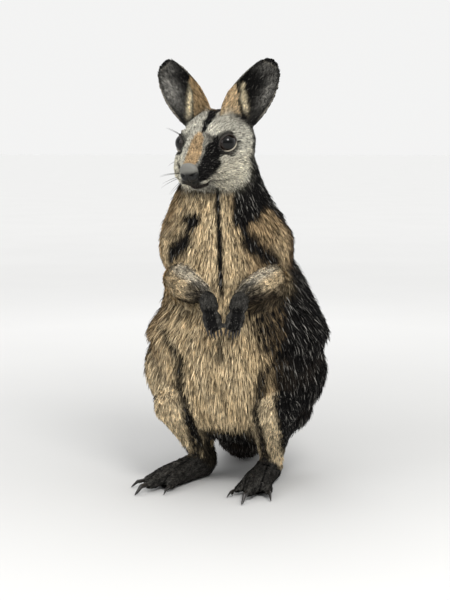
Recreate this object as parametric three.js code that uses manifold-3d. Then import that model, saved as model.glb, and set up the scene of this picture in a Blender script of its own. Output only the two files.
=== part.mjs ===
// A brush-tailed rock-wallaby, life size, standing upright on flat hind feet with its forepaws held
// together before the belly, its head turned a little to its right and its tail laid out behind.
// Every solid reaches out to the tips of the coat.
//
// Frame: millimetres, +Z up, the animal faces -Y and its left side is +X. The floor is z = 0, and the
// origin is the centre of the footprint of the whole animal.
import * as THREE from "three";
import { mergeVertices } from "three/addons/utils/BufferGeometryUtils.js";
import Module from "manifold-3d";

const wasm = await Module();
wasm.setup();

// ---------------------------------------------------------------- driving dimensions

const GAP = 0.35; // clear space between two parts of the body
const LEFT = 1;
const RIGHT = -1;

const COAT = { color: 0xb59c78, roughness: 0.9, metalness: 0 };
const DARK_COAT = { color: 0x2e2b29, roughness: 0.85, metalness: 0 };
const GREY_COAT = { color: 0xb9b4a5, roughness: 0.9, metalness: 0 };
const BARE_SKIN = { color: 0x26241f, roughness: 0.5, metalness: 0 };
const HORN = { color: 0x1c1a18, roughness: 0.35, metalness: 0 };
const EYE = { color: 0x0b0807, roughness: 0.05, metalness: 0 };

// Joints of the left arm in the chest's own frame, which the right arm mirrors in x.
const SHOULDER = [43, 2, 338];
const ELBOW = [61, -28, 268];
const WRIST = [21.5, -98, 250];
const FINGER_ROOT = [15.5, -111, 226];
// The chest leans and twists over the hips: a shift in x and degrees about the vertical.
const CHEST_SHIFT = -16;
const CHEST_TWIST = 10;
const CHEST_AXIS = [0, 6];

// Joints of the hind legs, which stand a little unevenly.
const HIP = { [LEFT]: [57, 34, 148], [RIGHT]: [-67, 30, 148] };
const KNEE = { [LEFT]: [62, -75, 134], [RIGHT]: [-77, -72, 134] };
const ANKLE = { [LEFT]: [47, -11, 28], [RIGHT]: [-42, -11, 28] };

const FOOT_LENGTH = 154; // heel to the tip of the longest claw
const FOOT_SPLAY = { [LEFT]: -6, [RIGHT]: 27 }; // degrees that each foot turns outwards
const HEEL_BEHIND_ANKLE = 19;

const HEAD_LENGTH = 136; // nose to the back of the skull
const HEAD_CENTRE = new THREE.Vector3(-30, -26, 427);
const HEAD_TURN = 14; // degrees to the animal's right
const HEAD_NOD = 15; // degrees that the muzzle points down
const EYE_RADIUS = 13;
const EYE_AT = [28, 12.5, 10]; // left, forward and up from the head's centre

const EAR_LENGTH = 106;
const EAR_HALF_WIDTH = 32; // round the curl of the rim
const EAR_INNER_FULLNESS = 0.42; // extra width of the lower half on the side by the crown
const EAR_OUTER_FULLNESS = 0.09;
const EAR_THICKNESS = 4.5;
const EAR_ROOT = [14.8, -33, 18.5]; // left, forward and up from the head's centre
const EAR_LEAN = 35.7; // degrees outwards from upright
const EAR_BACK = 0.165; // how far the tips lean back, as a share of the length
const EAR_FACING = { [LEFT]: 31, [RIGHT]: -3 }; // degrees that each hollow turns outwards

// ---------------------------------------------------------------- shared geometry helpers

const degrees = THREE.MathUtils.degToRad;
const lerp = THREE.MathUtils.lerp;
const vector = (p) => new THREE.Vector3(...p);
const onSide = (side, [x, y, z]) => [side * x, y, z];

// How far a rounded end has opened at the share t of a path, where the rounding takes up the share c.
function roundedEnd(t, c) {
  return t >= c ? 1 : Math.sqrt(Math.max(0, 1 - (1 - t / c) ** 2));
}

// A closed limb: a sphere whose poles are stretched to the two ends of a smooth path. Each station is
// [x, y, z, half width, half height above, half height below], and "up" says where above is.
function limb(stations, { up = [0, 0, 1], sides = 14, rings = 10, caps = [0.12, 0.12], square = 2 }) {
  const path = new THREE.CatmullRomCurve3(stations.map(([x, y, z]) => new THREE.Vector3(x, y, z)));
  const halves = new THREE.CatmullRomCurve3(
    stations.map(([, , , wide, above = wide, below = above]) => new THREE.Vector3(wide, above, below)),
    false,
    "catmullrom",
    0.5,
  );
  path.curveType = "catmullrom";
  const reference = vector(up).normalize();
  const geometry = new THREE.SphereGeometry(1, sides, rings);
  const position = geometry.attributes.position;
  const point = new THREE.Vector3();
  for (let i = 0; i < position.count; i++) {
    point.fromBufferAttribute(position, i);
    const t = (1 - point.y) / 2;
    const opened = roundedEnd(t, caps[0]) * roundedEnd(1 - t, caps[1]);
    const around = Math.hypot(point.x, point.z) > 1e-9 ? Math.atan2(point.z, point.x) : 0;
    const tangent = path.getTangent(t);
    const across = reference.clone().cross(tangent).normalize();
    const above = tangent.clone().cross(across);
    const half = halves.getPoint(t);
    const c = Math.sign(Math.cos(around)) * Math.abs(Math.cos(around)) ** (2 / square);
    const s = Math.sign(Math.sin(around)) * Math.abs(Math.sin(around)) ** (2 / square);
    const place = path
      .getPoint(t)
      .addScaledVector(across, c * opened * half.x)
      .addScaledVector(above, s * opened * (s > 0 ? half.y : half.z));
    position.setXYZ(i, place.x, place.y, place.z);
  }
  return geometry;
}

function ball(centre, [wide, long, high], sides = 16, rings = 10) {
  return new THREE.SphereGeometry(1, sides, rings).scale(wide, long, high).translate(...centre);
}

// A box that takes in one side of the plane through a point, for parting a body with a flat cut.
function halfSpace(point, normal, reach = 700) {
  const box = new THREE.BoxGeometry(2 * reach, 2 * reach, reach);
  box.translate(0, 0, reach / 2);
  const upright = new THREE.Vector3(0, 0, 1);
  const turn = new THREE.Quaternion().setFromUnitVectors(upright, vector(normal).normalize());
  return box.applyQuaternion(turn).translate(...point);
}

function bare(geometry) {
  const copy = geometry.clone();
  copy.deleteAttribute("normal");
  copy.deleteAttribute("uv");
  return mergeVertices(copy, 1e-3);
}

// The same surface moved out along its normals.
function grown(geometry, by) {
  const copy = bare(geometry);
  copy.computeVertexNormals();
  const { position, normal } = copy.attributes;
  for (let i = 0; i < position.count; i++) {
    position.setXYZ(
      i,
      position.getX(i) + by * normal.getX(i),
      position.getY(i) + by * normal.getY(i),
      position.getZ(i) + by * normal.getZ(i),
    );
  }
  return copy;
}

function solid(geometry) {
  const { position } = bare(geometry).attributes;
  return new wasm.Manifold(
    new wasm.Mesh({
      numProp: 3,
      vertProperties: position.array,
      triVerts: new Uint32Array(bare(geometry).index.array),
    }),
  );
}

const union = (geometries) => geometries.map(solid).reduce((whole, next) => whole.add(next));
const reachOf = (geometries, by = GAP) => union(geometries.map((g) => grown(g, by)));
const without = (body, ...cutters) => cutters.reduce((left, cutter) => left.subtract(cutter), body);

// The largest of the bodies that a cut leaves, so that no sliver stays beside it.
function mainBody(body) {
  return body.decompose().reduce((big, next) => (next.volume() > big.volume() ? next : big));
}

const group = new THREE.Group();

function addNode(name, body, finish) {
  const { numProp, numVert, vertProperties, triVerts } = mainBody(body).getMesh();
  const points = new Float32Array(numVert * 3);
  for (let i = 0; i < numVert; i++) {
    points.set(vertProperties.subarray(i * numProp, i * numProp + 3), i * 3);
  }
  const geometry = new THREE.BufferGeometry()
    .setAttribute("position", new THREE.BufferAttribute(points, 3))
    .setIndex(new THREE.BufferAttribute(triVerts, 1));
  geometry.computeVertexNormals();
  const mesh = new THREE.Mesh(geometry, new THREE.MeshStandardMaterial(finish));
  mesh.name = name;
  group.add(mesh);
}

const sideName = (side) => (side === LEFT ? "left" : "right");
const aboveFloor = solid(halfSpace([0, 0, 0], [0, 0, 1]));

// ---------------------------------------------------------------- torso and tail

// Sections from the seat up through the neck into the head: "above" is towards the back.
const torso = limb(
  [
    [1, 26, 42, 72, 62, 60],
    [3, 22, 78, 97, 84, 84],
    [-3, 13, 128, 104, 99, 106],
    [-3, 9, 170, 112, 103, 108],
    [-2, 8, 206, 118, 102, 104],
    [-8, 8, 246, 94, 96, 88],
    [-15, 7, 292, 78, 82, 72],
    [-22, 4, 334, 80, 70, 62],
    [-23, 2, 360, 67, 60, 52],
    [-23, -2, 388, 53, 48, 40],
    [-24, -8, 415, 49, 40, 34],
    [-28, -14, 438, 34, 30, 32],
  ],
  { up: [0, 1, 0], sides: 18, rings: 15, caps: [0.12, 0.06] },
);
const CHEST_CUT = [[0, 0, 250], [0, 0.12, 1]];
const NECK_CUT = [[0, 0, 360], [0, -0.3, 1]];

const tail = limb(
  [
    [-2, 30, 92, 40, 40],
    [-6, 66, 55, 42, 44],
    [-14, 116, 35, 36, 37],
    [-24, 172, 29, 31],
    [-40, 250, 24, 26],
    [-65, 345, 20.5, 22.5],
    [-97, 440, 21, 23],
    [-137, 532, 26, 28],
    [-178, 602, 26, 27],
    [-208, 650, 13, 14],
  ],
  { sides: 10, rings: 16, caps: [0.04, 0.06] },
);
const TAIL_CUTS = [
  [[-40, 250, 20], [-0.23, 0.97, 0]],
  [[-97, 440, 20], [-0.36, 0.93, 0]],
];

// ---------------------------------------------------------------- arms and forepaws

const chestMatrix = new THREE.Matrix4()
  .makeTranslation(CHEST_AXIS[0] + CHEST_SHIFT, CHEST_AXIS[1], 0)
  .multiply(new THREE.Matrix4().makeRotationZ(degrees(CHEST_TWIST)))
  .multiply(new THREE.Matrix4().makeTranslation(-CHEST_AXIS[0], -CHEST_AXIS[1], 0));
const onChest = (geometry) => geometry.applyMatrix4(chestMatrix);

function upperArm(side) {
  return onChest(limb(
    [
      [...onSide(side, SHOULDER), 34, 36, 34],
      [...onSide(side, [55, -10, 304]), 32, 36, 33],
      [...onSide(side, ELBOW), 25, 26],
    ],
    { up: [0, 1, 0], sides: 12, rings: 7, caps: [0.4, 0.34] },
  ));
}

function foreArm(side) {
  return onChest(limb(
    [
      [...onSide(side, [62, -22, 269]), 24, 24],
      [...onSide(side, [56, -52, 261]), 22.5, 23.5],
      [...onSide(side, [41.5, -78, 254]), 18.5, 19],
      [...onSide(side, WRIST), 14, 14],
    ],
    { sides: 9, rings: 6, caps: [0.22, 0.14] },
  ));
}

function palm(side) {
  return onChest(limb(
    [
      [...onSide(side, [24.5, -94, 252]), 10.5, 11],
      [...onSide(side, [18.5, -105, 239]), 12, 10],
      [...onSide(side, FINGER_ROOT), 12.5, 7.5],
    ],
    { up: [0, -1, 0], sides: 9, rings: 5, caps: [0.3, 0.3] },
  ));
}

const FINGERS = 5;
const FINGER_SPACING = 5;
const FINGER_RADIUS = 3.1;
const FINGER_CLAW_RADIUS = 1.7;
const fingerLength = (n) => 22 - 2.2 * Math.abs(n - 2);

// Root, knuckle, tip and claw tip of finger n, counted from the thumb's side. The fingers close up
// towards their tips.
function fingerPoints(side, n) {
  const spread = (n - (FINGERS - 1) / 2) * FINGER_SPACING;
  const length = fingerLength(n);
  const [x, y, z] = FINGER_ROOT;
  const root = [x + 0.75 * spread + 1, y + 2, z + 7];
  const knuckle = [x + 0.95 * spread - 2, y - 4.5 + 0.08 * Math.abs(spread), z - 0.4 * length];
  const tip = [x + 0.8 * spread - 4, y - 5, z - length];
  const claw = [tip[0] - 1.5, tip[1] + 2, tip[2] - 9];
  return [root, knuckle, tip, claw].map((p) => onSide(side, p));
}

function finger(side, n) {
  const [root, knuckle, tip] = fingerPoints(side, n);
  return onChest(limb(
    [
      [...root, FINGER_RADIUS + 0.8],
      [...knuckle, FINGER_RADIUS + 0.2],
      [...tip, FINGER_RADIUS - 0.5],
    ],
    { up: [0, -1, 0], sides: 6, rings: 3, caps: [0.2, 0.2] },
  ));
}

function fingerClaw(side, n) {
  const [, knuckle, tip, claw] = fingerPoints(side, n);
  const root = vector(knuckle).lerp(vector(tip), 0.74).toArray();
  const middle = vector(tip).lerp(vector(claw), 0.4).add(new THREE.Vector3(0, -1.2, 0)).toArray();
  return onChest(limb(
    [
      [...root, FINGER_CLAW_RADIUS],
      [...middle, FINGER_CLAW_RADIUS - 0.2],
      [...claw, 0.5],
    ],
    { up: [0, -1, 0], sides: 5, rings: 4, caps: [0.15, 0.1] },
  ));
}

// ---------------------------------------------------------------- hind legs

function thigh(side) {
  const hip = vector(HIP[side]);
  const knee = vector(KNEE[side]);
  const between = (t) => hip.clone().lerp(knee, t).toArray();
  return limb(
    [
      [...hip.clone().add(new THREE.Vector3(-6 * side, 36, 4)).toArray(), 50, 56],
      [...between(0.1), 58, 70, 70],
      [...between(0.52), 50, 58, 60],
      [...between(0.94), 35, 36, 38],
    ],
    { sides: 14, rings: 9, caps: [0.38, 0.42] },
  );
}

function shin(side) {
  const knee = vector(KNEE[side]);
  const ankle = vector(ANKLE[side]);
  const between = (t, forward = 0) =>
    knee.clone().lerp(ankle, t).add(new THREE.Vector3(0, -forward, 0)).toArray();
  return limb(
    [
      [...between(0.04, -2), 36, 37],
      [...between(0.34, 1), 31, 33],
      [...between(0.68, 2), 21, 23],
      [...ankle.toArray(), 15.5, 17],
      [...ankle.clone().add(new THREE.Vector3(-2 * side, 5, -12)).toArray(), 14, 14],
    ],
    { up: [0, -1, 1], sides: 10, rings: 7, caps: [0.2, 0.1] },
  );
}

// A foot lies along "ahead" from the back of its heel; "out" is away from the other foot.
function footPlace(side) {
  const turn = degrees(FOOT_SPLAY[side]);
  const ahead = new THREE.Vector3(side * Math.sin(turn), -Math.cos(turn), 0);
  const out = new THREE.Vector3(side * Math.cos(turn), Math.sin(turn), 0);
  const heel = vector(ANKLE[side]).addScaledVector(ahead, -HEEL_BEHIND_ANKLE);
  return (forward, outward, height) =>
    heel.clone().addScaledVector(ahead, forward).addScaledVector(out, outward).setZ(height).toArray();
}

// Each toe: where its root and tip lie ahead of the heel and outwards, its radius and its claw.
const CLAW_4 = 21;
const TOE_TIP_4 = FOOT_LENGTH - CLAW_4;
const TOES = {
  inner: { root: [88, -12], tip: [TOE_TIP_4 - 18, -21], radius: 6.5, claw: 15, clawRadius: 2.3 },
  middle: { root: [90, 1], tip: [TOE_TIP_4, 1], radius: 9.5, claw: CLAW_4, clawRadius: 3.6 },
  outer: { root: [86, 13], tip: [TOE_TIP_4 - 20, 24], radius: 7.5, claw: 16, clawRadius: 2.8 },
};

function metatarsus(side) {
  const at = footPlace(side);
  return limb(
    [
      [...at(2, 0, 17), 14, 16],
      [...at(26, 0, 18), 14.5, 20],
      [...at(58, 0, 15), 15, 17],
      [...at(88, 1, 13), 20, 14.5],
      [...at(110, 1, 10), 18, 11],
    ],
    { sides: 10, rings: 8, caps: [0.16, 0.16], square: 2.3 },
  );
}

function toe(side, { root, tip, radius }) {
  const at = footPlace(side);
  const middle = [lerp(root[0], tip[0], 0.5), lerp(root[1], tip[1], 0.42)];
  return limb(
    [
      [...at(...root, 12), radius, radius + 1],
      [...at(...middle, radius + 2.5), radius, radius + 0.5],
      [...at(...tip, radius - 0.5), radius - 1.2],
    ],
    { sides: 7, rings: 5, caps: [0.2, 0.24] },
  );
}

function toeClaw(side, { root, tip, radius, claw, clawRadius }) {
  const at = footPlace(side);
  const steer = (tip[1] - root[1]) / (tip[0] - root[0]);
  const along = (d, height) => at(tip[0] + d, tip[1] + steer * d, height);
  return limb(
    [
      [...along(-5, radius + 0.5), clawRadius - 0.4, clawRadius],
      [...along(0.4 * claw, radius + 0.4), clawRadius - 0.7, clawRadius],
      [...along(0.8 * claw, 3.4), 0.55 * clawRadius],
      [...along(claw, 1.0), 0.5],
    ],
    { sides: 5, rings: 5, caps: [0.1, 0.06] },
  );
}

// ---------------------------------------------------------------- head, in its own frame

// The head's own axes: x to its left, y back from the nose, z up. This places them in the body's frame.
const headMatrix = new THREE.Matrix4()
  .makeTranslation(HEAD_CENTRE)
  .multiply(new THREE.Matrix4().makeRotationZ(degrees(-HEAD_TURN)))
  .multiply(new THREE.Matrix4().makeRotationX(degrees(HEAD_NOD)));
const onHead = (geometry) => geometry.applyMatrix4(headMatrix);

// Head shapes are in shares of the head's length, with "forward" and "above" counted from its centre.
const share = (values) => values.map((v) => v * HEAD_LENGTH);
const headStation = ([forward, middle, ...halves]) => share([0, -forward, middle, ...halves]);
const headBall = ([left, forward, above], halves, ...detail) =>
  ball(share([left, -forward, above]), share(halves), ...detail);

const skull = limb(
  [
    [0.49, -0.105, 0.1, 0.085, 0.1],
    [0.43, -0.11, 0.125, 0.105, 0.13],
    [0.34, -0.1, 0.155, 0.13, 0.15],
    [0.22, -0.075, 0.215, 0.175, 0.19],
    [0.09, -0.03, 0.275, 0.245, 0.27],
    [-0.06, 0, 0.335, 0.3, 0.33],
    [-0.22, 0.01, 0.352, 0.315, 0.33],
    [-0.36, 0, 0.3, 0.26, 0.28],
    [-0.46, -0.01, 0.2, 0.18, 0.2],
  ].map(headStation),
  { sides: 16, rings: 13, caps: [0.1, 0.14], square: 2.1 },
);
const cheek = (side) => headBall([side * 0.17, 0.02, -0.155], [0.195, 0.295, 0.23], 8, 6);
const upperLip = (side) => headBall([side * 0.068, 0.39, -0.165], [0.09, 0.12, 0.08], 7, 5);
const lowerJaw = limb(
  [
    [0.42, -0.235, 0.065, 0.06],
    [0.34, -0.245, 0.085, 0.07],
    [0.18, -0.25, 0.125, 0.1],
    [-0.02, -0.22, 0.18, 0.13],
  ].map(headStation),
  { sides: 9, rings: 5, caps: [0.2, 0.25] },
);
// The mouth's cut runs back from under the nose to the corner of the lips, and down behind the jaw.
const MOUTH_CUT = [share([0, -0.45, -0.215]), [0, -0.05, -1]];
const JAW_ANGLE_CUT = [share([0, -0.05, -0.24]), [0, -1, -0.75]];

function eyeBall(side) {
  const [left, forward, above] = EYE_AT;
  return ball([side * left, -forward, above], Array(3).fill(EYE_RADIUS), 12, 7);
}

const nose = limb(
  [
    [0.53, -0.108, 0.062, 0.06, 0.065],
    [0.49, -0.1, 0.09, 0.09, 0.09],
    [0.42, -0.085, 0.09, 0.095, 0.08],
  ].map(headStation),
  { sides: 12, rings: 5, caps: [0.34, 0.3], square: 2.3 },
);

// A cupped leaf: a sphere pressed flat, then bent round the ear's axis. It is a tube at the root and
// opens towards the tip, with its hollow facing forwards and outwards.
function ear(side) {
  const lean = degrees(EAR_LEAN);
  const turn = degrees(EAR_FACING[side]);
  const axis = new THREE.Vector3(side * Math.sin(lean), EAR_BACK, Math.cos(lean)).normalize();
  const facing = new THREE.Vector3(side * Math.sin(turn), -Math.cos(turn), 0);
  facing.addScaledVector(axis, -facing.dot(axis)).normalize();
  const outward = facing.clone().negate();
  const across = axis.clone().cross(outward);
  const root = vector([side * EAR_ROOT[0], -EAR_ROOT[1], EAR_ROOT[2]]);
  const widest = 0.5; // share of the length
  const geometry = new THREE.SphereGeometry(1, 13, 9);
  const position = geometry.attributes.position;
  for (let i = 0; i < position.count; i++) {
    const height = (position.getY(i) + 1) / 2;
    const ring = Math.hypot(position.getX(i), position.getZ(i)) || 1;
    const v = position.getX(i) / ring;
    const through = position.getZ(i) / ring;
    const bulge = height < widest ? Math.sin((height / widest) * (Math.PI / 2)) ** 1.4 : 1;
    const tip = roundedEnd(1 - height, 1 - widest);
    const lowDown = Math.exp(-(((height - 0.28) / 0.27) ** 2));
    const full = Math.abs(v) * lowDown * (side * v > 0 ? EAR_INNER_FULLNESS : EAR_OUTER_FULLNESS);
    const half = EAR_HALF_WIDTH * lerp(0.8, 1, bulge) * tip * roundedEnd(height, 0.06) * (1 + full);
    const curl = degrees(lerp(87, 58, Math.min(1, height / 0.72)));
    const radius = half / curl;
    const angle = v * curl;
    const ends = roundedEnd(1 - height, 0.06) * roundedEnd(height, 0.06);
    const thick = (EAR_THICKNESS / 2) * lerp(1.5, 0.8, height) * ends;
    const place = root
      .clone()
      .addScaledVector(axis, height * EAR_LENGTH)
      .addScaledVector(facing, 0.05 * EAR_LENGTH * height ** 2)
      .addScaledVector(across, radius * Math.sin(angle))
      .addScaledVector(facing, radius * (1 - Math.cos(angle)))
      .addScaledVector(across, through * thick * Math.sin(angle))
      .addScaledVector(outward, through * thick * Math.cos(angle));
    position.setXYZ(i, place.x, place.y, place.z);
  }
  return geometry;
}

// ---------------------------------------------------------------- the nodes

const SIDES = [LEFT, RIGHT];

// Head: the eyes, nose and neck are let into it, the jaw is parted from it, and the ears stand on it.
const headParts = [skull, lowerJaw, ...SIDES.map(cheek), ...SIDES.map(upperLip)].map(onHead);
const eyes = new Map(SIDES.map((side) => [side, onHead(eyeBall(side))]));
const noseOnHead = onHead(nose);
const letIn = [torso, noseOnHead, ...eyes.values()];
const headWhole = without(union(headParts), ...letIn.map((g) => reachOf([g])));
const headReach = reachOf(headParts);

const belowMouth = onHead(halfSpace(...MOUTH_CUT));
const aheadOfJawAngle = onHead(halfSpace(...JAW_ANGLE_CUT));
const jawRegion = (by) => solid(grown(belowMouth, by)).intersect(solid(grown(aheadOfJawAngle, by)));
addNode("head", without(headWhole, jawRegion(GAP)), GREY_COAT);
addNode("lower_jaw", headWhole.intersect(jawRegion(0)), GREY_COAT);
addNode("nose", solid(noseOnHead), BARE_SKIN);
for (const side of SIDES) {
  addNode(`eye_${sideName(side)}`, solid(eyes.get(side)), EYE);
  addNode(`ear_${sideName(side)}`, without(solid(onHead(ear(side))), headReach), DARK_COAT);
}

// Arms: each lies over the chest, and each claw is let into its finger.
const armReach = [];
for (const side of SIDES) {
  const numbers = Array.from({ length: FINGERS }, (_, n) => n);
  const claws = numbers.map((n) => fingerClaw(side, n));
  const hand = [palm(side), ...numbers.map((n) => finger(side, n))];
  const foreArmLeft = without(solid(foreArm(side)), reachOf([upperArm(side)]), reachOf(hand));
  addNode(`upper_arm_${sideName(side)}`, solid(upperArm(side)), COAT);
  addNode(`forearm_${sideName(side)}`, foreArmLeft, COAT);
  addNode(`forepaw_${sideName(side)}`, without(union(hand), reachOf(claws)), DARK_COAT);
  claws.forEach((claw, n) => addNode(`fore_claw_${sideName(side)}_${n + 1}`, solid(claw), HORN));
  armReach.push(reachOf([upperArm(side), foreArm(side), ...hand]));
}

// Legs: the thigh lies over the trunk, and the foot over the end of the shin.
const legReach = [];
for (const side of SIDES) {
  const toes = Object.values(TOES);
  const claws = toes.map((t) => toeClaw(side, t));
  const foot = [metatarsus(side), ...toes.map((t) => toe(side, t))];
  addNode(`thigh_${sideName(side)}`, without(solid(thigh(side)), ...armReach), COAT);
  const shinLeft = without(solid(shin(side)), reachOf([thigh(side)]), reachOf(foot));
  const footLeft = without(union(foot), reachOf(claws));
  addNode(`shin_${sideName(side)}`, shinLeft.intersect(aboveFloor), COAT);
  addNode(`foot_${sideName(side)}`, footLeft.intersect(aboveFloor), DARK_COAT);
  Object.keys(TOES).forEach((name, n) =>
    addNode(`hind_claw_${sideName(side)}_${name}`, solid(claws[n]).intersect(aboveFloor), HORN),
  );
  legReach.push(reachOf([thigh(side), shin(side), ...foot]));
}

// Abdomen, chest, neck and tail take the room that is left.
const torsoLeft = without(solid(torso), ...armReach, ...legReach).intersect(aboveFloor);
const aboveCut = (cut, by) => solid(grown(halfSpace(...cut), by));
addNode("abdomen", without(torsoLeft, aboveCut(CHEST_CUT, GAP)), COAT);
addNode("chest", without(torsoLeft.intersect(aboveCut(CHEST_CUT, 0)), aboveCut(NECK_CUT, GAP)), COAT);
addNode("neck", torsoLeft.intersect(aboveCut(NECK_CUT, 0)), COAT);

const tailLeft = without(solid(tail), reachOf([torso]), ...legReach).intersect(aboveFloor);
const beyond = TAIL_CUTS.map(([point, normal]) => (by) => solid(grown(halfSpace(point, normal), by)));
addNode("tail_base", without(tailLeft, beyond[0](GAP)), DARK_COAT);
addNode("tail_middle", without(tailLeft.intersect(beyond[0](0)), beyond[1](GAP)), DARK_COAT);
addNode("tail_brush", tailLeft.intersect(beyond[1](0)), DARK_COAT);

// The origin goes to the middle of the footprint.
const bounds = new THREE.Box3().setFromObject(group, true);
const middle = bounds.getCenter(new THREE.Vector3());
group.position.set(-middle.x, -middle.y, -bounds.min.z);

export default group;
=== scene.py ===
"""A brush-tailed rock-wallaby standing upright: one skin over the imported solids, a coat of solid tufts on it,
eyes, nose, claws and whiskers. Metres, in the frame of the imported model: the animal faces -Y, its left is +X."""

import math

import bmesh
import bpy
import numpy as np
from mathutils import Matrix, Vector
from mathutils.bvhtree import BVHTree
from mathutils.kdtree import KDTree


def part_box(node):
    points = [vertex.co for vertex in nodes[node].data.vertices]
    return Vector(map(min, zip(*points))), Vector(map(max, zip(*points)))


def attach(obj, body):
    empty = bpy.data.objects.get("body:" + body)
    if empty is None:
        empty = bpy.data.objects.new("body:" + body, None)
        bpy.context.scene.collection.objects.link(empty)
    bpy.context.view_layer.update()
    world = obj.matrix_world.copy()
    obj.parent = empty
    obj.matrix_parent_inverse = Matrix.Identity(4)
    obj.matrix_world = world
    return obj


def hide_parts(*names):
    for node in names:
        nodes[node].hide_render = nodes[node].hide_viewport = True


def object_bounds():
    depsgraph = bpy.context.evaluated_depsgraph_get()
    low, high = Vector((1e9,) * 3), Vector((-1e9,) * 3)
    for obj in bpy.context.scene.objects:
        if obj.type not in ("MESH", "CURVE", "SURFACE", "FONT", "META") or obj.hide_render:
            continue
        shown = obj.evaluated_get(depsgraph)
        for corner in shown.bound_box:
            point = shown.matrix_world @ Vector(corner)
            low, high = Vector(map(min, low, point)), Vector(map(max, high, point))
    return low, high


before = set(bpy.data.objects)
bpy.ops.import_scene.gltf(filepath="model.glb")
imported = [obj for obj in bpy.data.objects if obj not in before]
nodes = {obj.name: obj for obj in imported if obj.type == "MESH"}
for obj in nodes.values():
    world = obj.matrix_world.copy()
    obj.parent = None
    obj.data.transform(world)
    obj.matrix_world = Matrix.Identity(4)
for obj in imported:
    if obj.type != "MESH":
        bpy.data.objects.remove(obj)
cad_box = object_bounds()
MM = 0.001
rng = np.random.default_rng(11)

# ---------------------------------------------------------------- the design frame of the solids

def turn_z(degrees):
    c, s = math.cos(math.radians(degrees)), math.sin(math.radians(degrees))
    return np.array([[c, -s, 0], [s, c, 0], [0, 0, 1]])


def turn_x(degrees):
    c, s = math.cos(math.radians(degrees)), math.sin(math.radians(degrees))
    return np.array([[1, 0, 0], [0, c, -s], [0, s, c]])


CHEST_SHIFT, CHEST_TWIST, CHEST_AXIS = -16, 10, np.array([0, 6.0, 0])
HEAD_CENTRE, HEAD_AXES = np.array([-30, -26, 427.0]), turn_z(-14) @ turn_x(15)
EYE_RADIUS, EYE_AT = 13, np.array([28, -12.5, 10.0])
EAR_LENGTH, EAR_HALF_WIDTH, EAR_INNER_FULLNESS, EAR_OUTER_FULLNESS = 106, 32, 0.42, 0.09
EAR_ROOT, EAR_LEAN, EAR_BACK, EAR_FACING = (14.8, -33, 18.5), 35.7, 0.165, {1: 31, -1: -3}
SHOULDER, ELBOW, WRIST, FINGER_ROOT = (43, 2, 338), (61, -28, 268), (21.5, -98, 250), (15.5, -111, 226)
KNEE = {1: (62, -75, 134), -1: (-77, -72, 134)}
ANKLE = {1: (47, -11, 28), -1: (-42, -11, 28)}
FOOT_SPLAY = {1: -6, -1: 27}
TORSO_AXIS = np.array([  # x, y, z of the trunk's middle, from the seat to the head
    [1, 26, 42], [1, 22, 78], [-3, 13, 128], [-5, 9, 170], [-5, 8, 206], [-8, 8, 246],
    [-15, 7, 292], [-22, 4, 334], [-23, 2, 360], [-23, -2, 388], [-24, -8, 415], [-28, -14, 438],
], float)
TAIL_PATH = np.array([
    [-2, 30, 92], [-6, 66, 55], [-14, 116, 35], [-24, 172, 29], [-40, 250, 24],
    [-65, 345, 20.5], [-97, 440, 21], [-137, 532, 26], [-178, 602, 26], [-208, 650, 13],
])
# The left eyeball's middle is known in both frames, which gives the solids' own origin, in mm.
eye_box = [np.array(c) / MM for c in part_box("eye_left")]
ORIGIN = (eye_box[0] + eye_box[1]) / 2 - (HEAD_AXES @ EYE_AT + HEAD_CENTRE)
ORIGIN[2] = 0


def design(points):
    return np.asarray(points) / MM - ORIGIN


def row(points):
    return (np.asarray(points) + ORIGIN) * MM


def on_chest(side, p):
    p = np.array([side * p[0], p[1], p[2]], float) - CHEST_AXIS
    return turn_z(CHEST_TWIST) @ p + CHEST_AXIS + [CHEST_SHIFT, 0, 0]


def from_trunk(p):
    """The way sideways and forwards from the trunk's middle at each point's height."""
    return p[:, :2] - np.stack([np.interp(p[:, 2], TORSO_AXIS[:, 2], TORSO_AXIS[:, k]) for k in (0, 1)], 1)


def chest_coords(p):
    """The place of a turned chest's point before the turn."""
    return (p - CHEST_AXIS - [CHEST_SHIFT, 0, 0]) @ turn_z(CHEST_TWIST) + CHEST_AXIS


def head_coords(points):
    """Left, forward and up from the head's centre, in mm."""
    local = (design(points) - HEAD_CENTRE) @ HEAD_AXES
    return local[:, 0], -local[:, 1], local[:, 2]


def from_head(left, forward, up):
    return row(HEAD_AXES @ np.array([left, -forward, up], float) + HEAD_CENTRE)


def unit(v):
    return v / np.maximum(np.linalg.norm(v, axis=-1, keepdims=True), 1e-12)


def smooth(a, b, x):
    """0 up to a, 1 from b on, and a soft step between them."""
    t = np.clip((np.asarray(x, float) - a) / (b - a), 0, 1)
    return t * t * (3 - 2 * t)


def hump(x, at, spread, power=2):
    """1 where x is at its place, falling to 0 over the spread."""
    return np.exp(-(((x - at) / spread) ** power))


def ear_frame(side):
    """Root, axis towards the tip, direction that the hollow faces and direction across, in the row frame."""
    lean, turn = math.radians(EAR_LEAN), math.radians(EAR_FACING[side])
    axis = unit(np.array([side * math.sin(lean), EAR_BACK, math.cos(lean)]))
    facing = np.array([side * math.sin(turn), -math.cos(turn), 0])
    facing = unit(facing - facing @ axis * axis)
    across = np.cross(axis, -facing)
    root = from_head(side * EAR_ROOT[0], EAR_ROOT[1], EAR_ROOT[2])
    return root, HEAD_AXES @ axis, HEAD_AXES @ facing, HEAD_AXES @ across


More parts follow.
